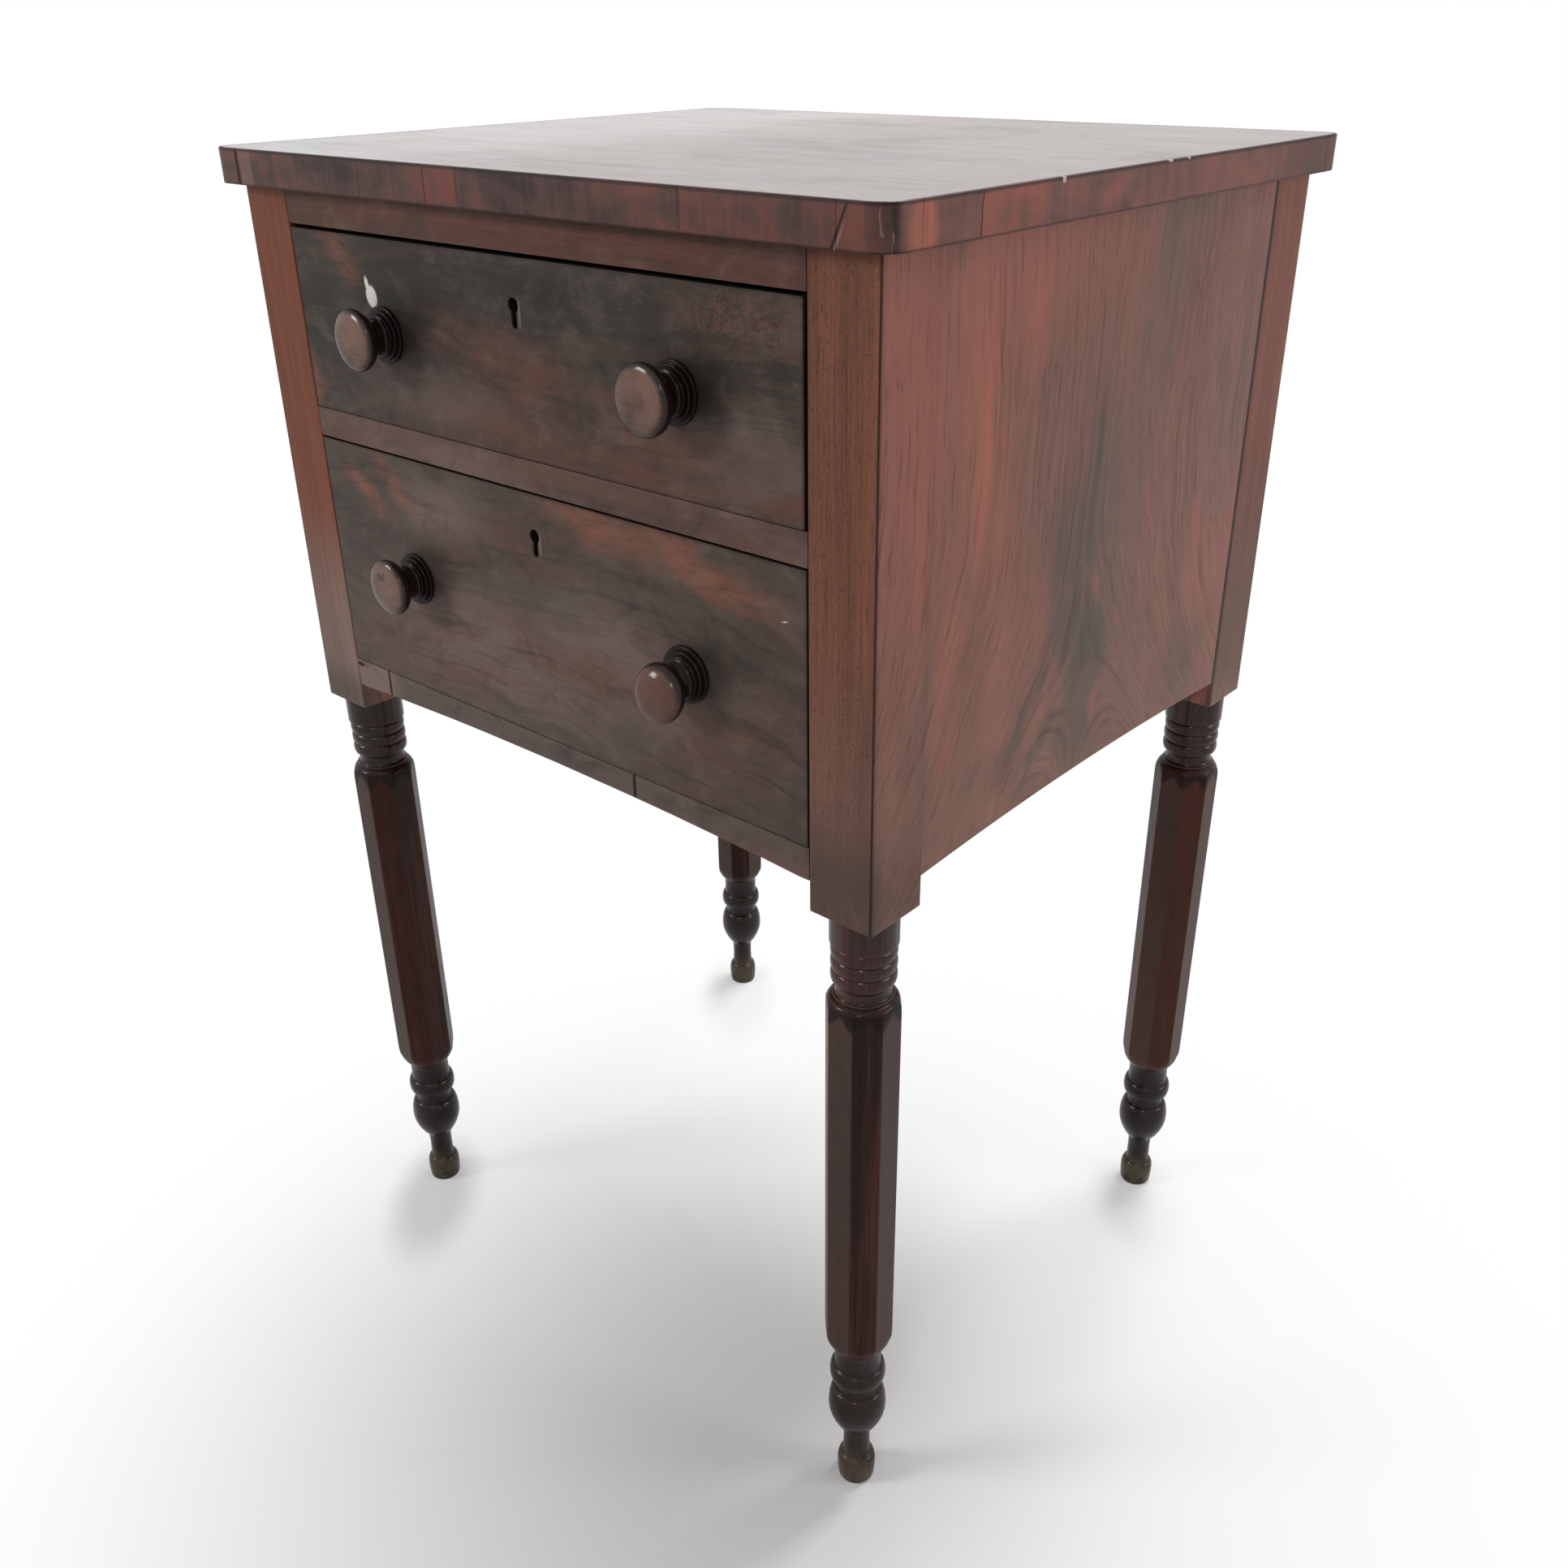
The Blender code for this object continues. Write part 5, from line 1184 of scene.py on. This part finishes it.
def mix_band(finish, stains):
    """Edge veneer in short upright pieces of several colours, with dark joints, a crack, a rubbed corner."""
    place = finish.place()
    x, y, z = place.axes()
    fore = y.rise(BAND_LOW.y + 0.0055, BAND_LOW.y + 0.0045)
    near = y.rise(BAND_LOW.y + 0.0110, BAND_LOW.y + 0.0060)
    side = x.rise(BAND_HIGH.x - 0.0015, BAND_HIGH.x - 0.0005)
    cuts = (
        (x, fore, -0.096, 0.02), (x, fore, -0.043, 0.09), (x, fore, -0.019, -0.12), (x, fore, 0.124, 0.07),
        (y, side, -0.133, 0.08), (y, side, -0.084, -0.07),
    )
    fibre = place.noise((420.0, 420.0, 30.0), 3.0, 0.6)
    streak = place.noise((70.0, 70.0, 14.0), 3.0, 0.6, 0.5)
    stainy = place.noise((22.0, 22.0, 45.0), 3.0, 0.6, 0.4)
    tone = streak * 0.30 + fibre * 0.16 + stainy * 0.54
    wander = (stainy - 0.5) * 0.006
    lines = []
    for axis, edge, spot, change in cuts:
        tone = tone + axis.rise(spot - 0.0003, spot + 0.0003) * edge * change
        lines.append(abs(axis - spot + wander).rise(0.0008, 0.0002) * edge)
    joint = strongest(lines) * (0.2 + streak.rise(0.40, 0.60) * 0.7)
    shade = tone.ramp((0.40, stains.band_dark), (0.50, stains.band_mid), (0.62, stains.band_red))
    shade = shade.stained(y.rise(BAND_LOW.y + 0.0110, BAND_LOW.y + 0.0050) * 0.35, stains.band_dark)
    shade = shade.stained(side * 0.25, stains.panel_red)
    shade = shade.stained(y.rise(0.10, 0.16) * 0.5, stains.band_dark)

    strip = abs(x + 0.1970).rise(0.0060, 0.0048) * fore
    shade = shade.stained(strip * 0.45, stains.post_ash)
    amber = place.blot((BAND_HIGH.x, -0.170, 0.709), (0.02, 0.012, 0.016)).rise(0.0, 0.5)
    shade = shade.stained(amber * (0.2 + fibre), stains.panel_orange)
    slant = x - 0.2065 - (z - 0.711) * 0.45
    crack = abs(slant).rise(0.0009, 0.0003) * near
    split = abs(x + 0.2050).rise(0.0022, 0.0010) * fore
    # Painted shade: thin dark lines along the band's upper and lower edges
    lip = z.rise(BAND_HIGH.z - 0.0020, BAND_HIGH.z - 0.0007)
    lip = lip.greater(z.rise(BAND_LOW.z + 0.0014, BAND_LOW.z + 0.0002))
    dark = strongest((joint, crack * 0.9, lip * 0.75, split * 0.9))
    shade = shade.stained(dark, toned(stains.leg_dark, 0.8))
    flake = abs(slant - 0.0018).rise(0.0008, 0.0002) * near * z.rise(0.714, 0.708)
    shade = shade.stained(flake * 0.5, stains.band_rubbed)
    corner = place.blot((0.226, -0.187, 0.711), (0.014, 0.014, 0.03)).rise(0.0, 0.4)
    shaken = place.warped((120.0, 120.0, 160.0), (0.003, 0.003, 0.0))
    rub = shaken.noise((700.0, 700.0, 45.0), 1.0).rise(0.64, 0.74)
    shade = shade.stained(corner * rub * 0.6, stains.band_rubbed)
    nick = strongest((
        place.blot((BAND_HIGH.x, -0.075, 0.7192), (0.02, 0.0020, 0.0026)),
        place.blot((BAND_HIGH.x, 0.014, 0.7197), (0.02, 0.0030, 0.0011)),
        place.blot((BAND_HIGH.x, 0.031, 0.7197), (0.02, 0.0018, 0.0010)),
    ))
    shade = shade.stained(nick.rise(0.2, 0.5) * 0.7, stains.band_nick)
    finish.close(shade, 0.36 + streak * 0.2, fibre * 0.5 - joint, 0.00025, 0.15)


def mix_knob(finish, stains):
    """Turned knobs, black in the hollows and on the base, rubbed brown on the face where hands hold them, and
    lighter towards the face's upper right by a painted highlight.

    The lower right knob sags, so its face is sought lower and further in, and it is redder.
    """
    place = finish.place()
    x, y, z = place.axes()
    fibre = place.noise((160.0, 500.0, 520.0), 3.0, 0.6, 0.4)
    cloud = place.noise((90.0, 90.0, 90.0), 3.0, 0.6)
    right = x.rise(0.0, 0.01)
    sagging = right * z.rise(0.56, 0.55)
    across = abs(x) - KNOB_X + sagging * 0.0035
    upper = z - UPPER_KNOB_Z
    lower = z - LOWER_KNOB_Z + right * 0.0065
    up = abs(upper).lesser(abs(lower))
    face = y.rise(FRONT - 0.013, FRONT - 0.019) * ((across * across + up * up) ** 0.5).rise(0.0158, 0.0122)
    # Painted highlight: the face is lightened towards its upper right, where a soft light would shine in it
    rightward = across * (right * 2.0 - 1.0)
    upward = upper * z.rise(0.56, 0.57) + lower * z.rise(0.57, 0.56)
    painted_highlight = (rightward * 0.6 + upward * 0.8) * 14.0
    tone = fibre * 0.30 + cloud * 0.55 + face * (0.40 + painted_highlight) - 0.17
    shade = tone.ramp((0.30, stains.knob_dark), (0.78, stains.knob_light))
    darkening = (0.0 - finish.wear()).rise(0.1, 0.7)
    shade = shade.stained(darkening * 0.8, toned(stains.knob_dark, 0.4))
    shade = shade.stained(sagging * face * 0.6, stains.leg_light)
    chip = strongest((
        place.blot((-0.1085, -0.202, 0.5075), (0.0042, 0.01, 0.0024), (0.0, 0.6, 0.0)),
        place.blot((-0.1050, -0.202, 0.5082), (0.0018, 0.01, 0.0040)),
    ))
    shade = shade.stained(chip.rise(0.2, 0.5) * 0.75, stains.leg_dark)
    base = y.rise(FRONT - 0.0105, FRONT - 0.0075)
    shade = shade.stained(base * 0.85, toned(stains.knob_dark, 0.45))
    polish = (0.30 + cloud * 0.36) * (1.0 - base * 0.6)
    finish.close(shade, 0.34 + cloud * 0.14, fibre * 0.4 + cloud * 0.5, 0.00025, 0.04, polish, 0.14)


def mix_bare(axis):
    """Recipe of bare boards inside the case with the grain along one axis: growth bands, fibres, clouds."""
    def recipe(finish, stains):
        place = finish.place()
        swept = place.warped((6.0, 6.0, 6.0), (0.010, 0.010, 0.010))
        rings = (swept.noise(drawn_out(axis, 24.0, 1.1), 2.0, 0.45, 0.15) * 11.0).fraction()
        late = rings.rise(0.35, 0.92) * rings.rise(1.0, 0.93)
        fibre = place.noise(drawn_out(axis, 700.0, 16.0), 2.0, 0.6)
        tone = late * 0.24 + fibre * 0.46
        shade = finish.mix(tone.rise(0.06, 0.80), stains.bare_light, stains.bare_dark)
        cloud = place.noise((8.0, 8.0, 8.0), 3.0, 0.6).rise(0.42, 0.72)
        shade = shade.stained(cloud * 0.45, toned(stains.bare_dark, 0.7))
        finish.close(shade, 0.62 + fibre * 0.2, fibre * 0.6 + late * 0.4, 0.0003, 0.3)
    return recipe


def bare_boards(context):
    """The two bare woods, by the axis of their grain."""
    return {
        ALONG: finish_named(context, "bare wood, grain front to back", mix_bare(ALONG)),
        ACROSS: finish_named(context, "bare wood, grain side to side", mix_bare(ACROSS)),
    }


def mix_brass(finish, stains):
    """Lock plates: dull brass, filed along their length, tarnished in patches, painted black as shade inside
    the keyhole.
    """
    place = finish.place()
    file_marks = place.noise((60.0, 900.0, 1400.0))
    patch = place.noise((110.0, 110.0, 110.0), 4.0, 0.6).rise(0.40, 0.68)
    shade = finish.mix(patch * 0.8, stains.brass, stains.brass_dull)
    # Painted shade: the brass that shows inside the keyhole is made nearly black
    hole = place.axes()[1].rise(FRONT + 0.0160, FRONT + 0.0145)
    shade = shade.stained(hole, toned(stains.brass_dull, 0.08))
    finish.close(shade, 0.30 + patch * 0.25 + file_marks * 0.1, file_marks, 0.0001, metallic=1.0)


def mix_iron(finish, stains):
    """Bolts and screws: dark iron with a brown film."""
    place = finish.place()
    grain = place.noise((800.0, 800.0, 800.0), 3.0, 0.6)
    patch = place.noise((190.0, 190.0, 190.0), 3.0, 0.6).rise(0.42, 0.66)
    shade = finish.mix(patch * 0.7, stains.iron, stains.rust)
    finish.close(shade, 0.42 + patch * 0.3, grain, 0.0001, metallic=0.9)


def seen_directly(finish):
    """1 for what the camera sees, straight, in a reflection or through glass."""
    path = finish.node("ShaderNodeLightPath")
    seen = path.other("Is Camera Ray").greater(path.other("Is Glossy Ray"))
    return seen.greater(path.other("Is Transmission Ray"))


def mix_floor(finish, stains):
    """Pale floor that takes the lamps' shadow before the table and under its feet, and is white further out;
    where the shadow fades to white is painted, by a mask round a point before the table and by blots drawn
    out from the feet.
    """
    place = finish.place()
    x, y = place.axes()[:2]
    # Painted shadow: the lamp-lit floor shows only near a point before the table and in blots drawn out from
    # the feet; further out it turns to white
    away = ((x - 0.165) ** 2.0 + (y + 0.165) ** 2.0) ** 0.5
    feet = [middle(node) for node, *_ in at_corners("leg")]
    near = strongest(
        place.blot((foot.x + 0.018, foot.y - 0.024, 0.0), (0.085, 0.042, 1.0), (0.0, 0.0, -0.85))
        for foot in feet
    )
    beyond_painted_shadow = away.rise(0.02, 0.55) * (1.0 - near.rise(0.0, 0.7) * 0.65)
    speck = place.noise((60.0, 60.0, 60.0), 3.0)
    pale = finish.mix(speck * 0.06, stains.floor, toned(stains.floor, 0.9))
    seen = seen_directly(finish)
    white = (1.0, 1.0, 1.0, 1.0)
    matt = finish.node("ShaderNodeBsdfDiffuse", None, {"Color": pale})
    glow = finish.node("ShaderNodeEmission", None, {"Color": white, "Strength": seen * 0.03})
    lit = finish.node("ShaderNodeAddShader", None, {0: matt, 1: glow})
    far = finish.node("ShaderNodeEmission", None, {"Color": white, "Strength": 1.0})
    both = finish.node("ShaderNodeMixShader", None, {0: beyond_painted_shadow * seen, 1: lit, 2: far})
    finish.node("ShaderNodeOutputMaterial", None, {"Surface": both})


# Operators

class WORKTABLE_OT_legs(Operator):
    """Turn the four legs: square post, ringed neck, eight-sided shaft, urn and foot"""

    bl_idname = "work_table.legs"
    bl_label = "Legs"

    def execute(self, context):
        sizes = context.scene.work_table_legs
        material = finish_named(context, "leg mahogany", mix_leg)
        for node, end, side in at_corners("leg"):
            low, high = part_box(node)
            corners = self.corners(sizes, end, side)
            points, wear = leg_grid(sizes, middle(node), high.z, (high.x - low.x) / 2, corners)
            skin(node, "turned", points, "case", material, wear)
        return {"FINISHED"}

    def corners(self, sizes, end, side):
        """Radii of a post's corners, from the right rear one round by the left; front posts' are crisper."""
        radii = np.full(4, sizes.post_arris)
        if end == "front":
            panel, inside, drawers = (1, 0, 3) if side == "left" else (0, 1, 2)
            radii[[panel, inside, drawers]] = (sizes.post_crisp, sizes.post_inside, sizes.post_beside)
        return radii


class WORKTABLE_OT_knobs(Operator):
    """Turn the four drawer knobs, each a little different, as hand-turned knobs are"""

    bl_idname = "work_table.knobs"
    bl_label = "Knobs"

    def execute(self, context):
        sizes = context.scene.work_table_knobs
        material = finish_named(context, "knob mahogany", mix_knob)
        for (drawer, side), shape in KNOB_SHAPES.items():
            node = "{}_knob_{}".format(drawer, side)
            low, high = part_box(node)
            centre = middle(node)
            centre.y = low.y + sizes.projection
            points, wear = knob_grid(sizes, centre, centre.y - high.y, shape)
            skin(node, "turned", points, drawer + "_drawer", material, wear)
        return {"FINISHED"}


class WORKTABLE_OT_top(Operator):
    """Lay the top board and the veneer band round its edge"""

    bl_idname = "work_table.top"
    bl_label = "Top"

    def execute(self, context):
        sizes = context.scene.work_table_case
        board = finish_named(context, "top mahogany", mix_top)
        low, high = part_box("top_board")
        inner = sizes.top_corner - sizes.band_thickness - sizes.glue_gap
        points = board_grid(low, high, inner, sizes.arris)
        skin("top_board", "planed", points, "case", board)

        band = finish_named(context, "edge band", mix_band)
        section = band_section(sizes.band_thickness, low.z, high.z, sizes.top_arris)
        paths = {}
        for node, end, side in at_corners("top_band_corner"):
            paths[node] = corner_band(node, end, side, sizes.top_corner)
        for edge, outward in (("front", (0, -1)), ("back", (0, 1)), ("left", (-1, 0)), ("right", (1, 0))):
            node = "top_band_" + edge
            paths[node] = straight_band(node, outward)
        for node, (path, outward) in paths.items():
            skin(node, "laid", carried(path, outward, section), "case", band)
        return {"FINISHED"}


class WORKTABLE_OT_side_panels(Operator):
    """Fit the two veneered side panels with their slightly arched lower edge"""

    bl_idname = "work_table.side_panels"
    bl_label = "Side panels"

    def execute(self, context):
        sizes = context.scene.work_table_case
        material = finish_named(context, "side panel mahogany", mix_panel)
        for side in SIDES:
            node = "side_panel_" + side
            low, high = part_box(node)
            low.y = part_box("leg_front_" + side)[1].y
            high.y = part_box("leg_rear_" + side)[0].y - sizes.glue_gap
            points = side_panel_grid(low, high, SIGN[side], sizes.skirt_rise, sizes.arris)
            skin(node, "veneered", points, "case", material)
        return {"FINISHED"}


class WORKTABLE_OT_rails(Operator):
    """Fit the three front rails with eased edges"""

    bl_idname = "work_table.rails"
    bl_label = "Front rails"

    def execute(self, context):
        material = finish_named(context, "case mahogany", mix_case)
        for node in ("top_rail", "middle_rail", "bottom_rail"):
            eased_copy(node, "case", material, context.scene.work_table_case.arris)
        return {"FINISHED"}


class WORKTABLE_OT_drawer_fronts(Operator):
    """Veneer the two drawer fronts"""

    bl_idname = "work_table.drawer_fronts"
    bl_label = "Drawer fronts"

    def execute(self, context):
        arris = context.scene.work_table_case.arris
        for drawer, recipe in zip(DRAWERS, (mix_upper_drawer, mix_lower_drawer)):
            material = finish_named(context, drawer + " drawer veneer", recipe)
            eased_copy(drawer + "_drawer_front", drawer + "_drawer", material, arris)
        return {"FINISHED"}


class WORKTABLE_OT_drawer_boxes(Operator):
    """Plane the bare sides, backs and bottoms of the drawers"""

    bl_idname = "work_table.drawer_boxes"
    bl_label = "Drawer boxes"

    def execute(self, context):
        arris = context.scene.work_table_case.inner_arris
        bare = bare_boards(context)
        grains = {"side_left": ALONG, "side_right": ALONG, "back": ACROSS, "bottom": ACROSS}
        for drawer in DRAWERS:
            for board, axis in grains.items():
                node = "{}_drawer_{}".format(drawer, board)
                eased_copy(node, drawer + "_drawer", bare[axis], arris)
        return {"FINISHED"}


class WORKTABLE_OT_inner_frame(Operator):
    """Plane the bare boards of the case: runners, guides, stops, kickers and back panel"""

    bl_idname = "work_table.inner_frame"
    bl_label = "Inner frame"

    def execute(self, context):
        arris = context.scene.work_table_case.inner_arris
        bare = bare_boards(context)
        grains = {"back_panel": ACROSS}
        for side in SIDES:
            grains["kicker_" + side] = ALONG
            for drawer in DRAWERS:
                for board, axis in (("runner", ALONG), ("guide", ALONG), ("stop", ACROSS)):
                    grains["{}_{}_{}".format(drawer, board, side)] = axis
        for node, axis in grains.items():
            eased_copy(node, "case", bare[axis], arris)
        return {"FINISHED"}


class WORKTABLE_OT_locks(Operator):
    """Finish the two locks with their bolts, and the screws that hold the top"""

    bl_idname = "work_table.locks"
    bl_label = "Locks and screws"

    def execute(self, context):
        sizes = context.scene.work_table_case
        brass = finish_named(context, "lock brass", mix_brass)
        iron = finish_named(context, "dark iron", mix_iron)
        for drawer in DRAWERS:
            eased_copy(drawer + "_lock_case", drawer + "_drawer", brass, sizes.lock_arris)
            eased_copy(drawer + "_lock_bolt", drawer + "_bolt", iron, sizes.bolt_arris)
        for node, *_ in at_corners("top_screw"):
            eased_copy(node, "case", iron, sizes.screw_arris)
        return {"FINISHED"}


class WORKTABLE_OT_stage(Operator):
    """Set the pale floor, the soft lights and the camera"""

    bl_idname = "work_table.stage"
    bl_label = "Stage"

    def execute(self, context):
        self.floor(context)
        self.sky(context)
        self.lamp(context, "overhead light", (0.15, 1.15, 2.7), 1.0, 55.0)
        self.lamp(context, "right light", (2.0, 0.9, 0.9), 0.9, 14.0)
        self.lamp(context, "front light", (-1.7, -2.3, 1.7), 0.8, 36.0)
        self.lamp(context, "window light", (1.4, -2.4, 1.9), 0.50, 9.0)
        self.camera(context)
        context.scene.view_settings.view_transform = "Standard"
        return {"FINISHED"}

    def floor(self, context):
        """A wide disc: rings of points at growing distances, the inmost one filled."""
        corners = 64
        angles = np.linspace(0, 2 * math.pi, corners, endpoint=False)
        reach = np.array([0.02, 0.5, 1.5, 4.0, 12.0])[:, None]
        flat = np.zeros((len(reach), corners))
        points = np.stack((reach * np.cos(angles), reach * np.sin(angles), flat), axis=-1)
        faces = grid_faces(len(reach), corners) + [list(range(corners))]
        mesh = bpy.data.meshes.new("studio_floor")
        mesh.from_pydata(points.reshape(-1, 3).tolist(), [], faces)
        mesh.materials.append(finish_named(context, "studio floor", mix_floor))
        floor = bpy.data.objects.new("studio_floor", mesh)
        context.scene.collection.objects.link(floor)

    def sky(self, context):
        """A white surround that is dimmer as light than as seen."""
        world = bpy.data.worlds.new("studio surround")
        world.use_nodes = True
        finish = Finish(world.node_tree)
        white = (1.0, 1.0, 1.0, 1.0)
        light = finish.node("ShaderNodeBackground", None, {"Color": white, "Strength": 0.30})
        surround = finish.node("ShaderNodeBackground", None, {"Color": white, "Strength": 1.0})
        both = finish.node("ShaderNodeMixShader", None, {0: seen_directly(finish), 1: light, 2: surround})
        finish.node("ShaderNodeOutputWorld", None, {"Surface": both})
        context.scene.world = world

    def lamp(self, context, name, location, size, watts):
        """A square soft light that faces the middle of the case."""
        target = Vector((0.0, 0.0, 0.45))
        light = bpy.data.lights.new(name, "AREA")
        light.shape = "SQUARE"
        light.size = size
        light.energy = watts
        lamp = bpy.data.objects.new(name, light)
        lamp.location = location
        lamp.rotation_euler = (target - lamp.location).to_track_quat("-Z", "Y").to_euler()
        context.scene.collection.objects.link(lamp)

    def camera(self, context):
        """The photograph's view: from the right front, a little above the top and looking down."""
        place = (0.5724, -0.6377, 0.7815)
        yaw, pitch, roll = 0.7259, 0.4808, -0.0135
        ahead = Vector((-math.sin(yaw) * math.cos(pitch), math.cos(yaw) * math.cos(pitch), -math.sin(pitch)))
        level = Vector((math.cos(yaw), math.sin(yaw), 0.0))
        upright = level.cross(ahead)
        right = math.cos(roll) * level + math.sin(roll) * upright
        up = math.cos(roll) * upright - math.sin(roll) * level
        camera = bpy.data.objects.new("camera", bpy.data.cameras.new("camera"))
        turn = Matrix((right, up, -ahead)).transposed()
        camera.matrix_world = Matrix.Translation(place) @ turn.to_4x4()
        camera.data.lens = 34.098
        camera.data.sensor_width = 36.0
        camera.data.clip_start = 0.01
        context.scene.collection.objects.link(camera)
        context.scene.camera = camera


class VIEW3D_PT_work_table(Panel):
    """Lists the pieces, and the sizes and colours that they are made from"""

    bl_label = "Work Table"
    bl_space_type = "VIEW_3D"
    bl_region_type = "UI"
    bl_category = "Work Table"

    def draw(self, context):
        layout = self.layout
        for operator in OPERATORS:
            layout.operator(operator.bl_idname)
        for name, group in GROUPS.items():
            box = layout.box()
            for key in group.__annotations__:
                box.prop(getattr(context.scene, name), key)


GROUPS = {
    "work_table_legs": WorkTableLegSizes,
    "work_table_knobs": WorkTableKnobSizes,
    "work_table_case": WorkTableCaseSizes,
    "work_table_colours": WorkTableColours,
}
OPERATORS = (
    WORKTABLE_OT_legs, WORKTABLE_OT_knobs, WORKTABLE_OT_top, WORKTABLE_OT_side_panels, WORKTABLE_OT_rails,
    WORKTABLE_OT_drawer_fronts, WORKTABLE_OT_drawer_boxes, WORKTABLE_OT_inner_frame, WORKTABLE_OT_locks,
    WORKTABLE_OT_stage,
)


def register():
    for name, group in GROUPS.items():
        bpy.utils.register_class(group)
        setattr(bpy.types.Scene, name, PointerProperty(type=group))
    for operator in OPERATORS:
        bpy.utils.register_class(operator)
    bpy.utils.register_class(VIEW3D_PT_work_table)


def unregister():
    bpy.utils.unregister_class(VIEW3D_PT_work_table)
    for operator in reversed(OPERATORS):
        bpy.utils.unregister_class(operator)
    for name, group in GROUPS.items():
        delattr(bpy.types.Scene, name)
        bpy.utils.unregister_class(group)


def main():
    """Makes every piece and the stage."""
    register()
    bpy.ops.work_table.legs()
    bpy.ops.work_table.knobs()
    bpy.ops.work_table.top()
    bpy.ops.work_table.side_panels()
    bpy.ops.work_table.rails()
    bpy.ops.work_table.drawer_fronts()
    bpy.ops.work_table.drawer_boxes()
    bpy.ops.work_table.inner_frame()
    bpy.ops.work_table.locks()
    bpy.ops.work_table.stage()
    bpy.context.view_layer.update()


if __name__ == "__main__":
    main()
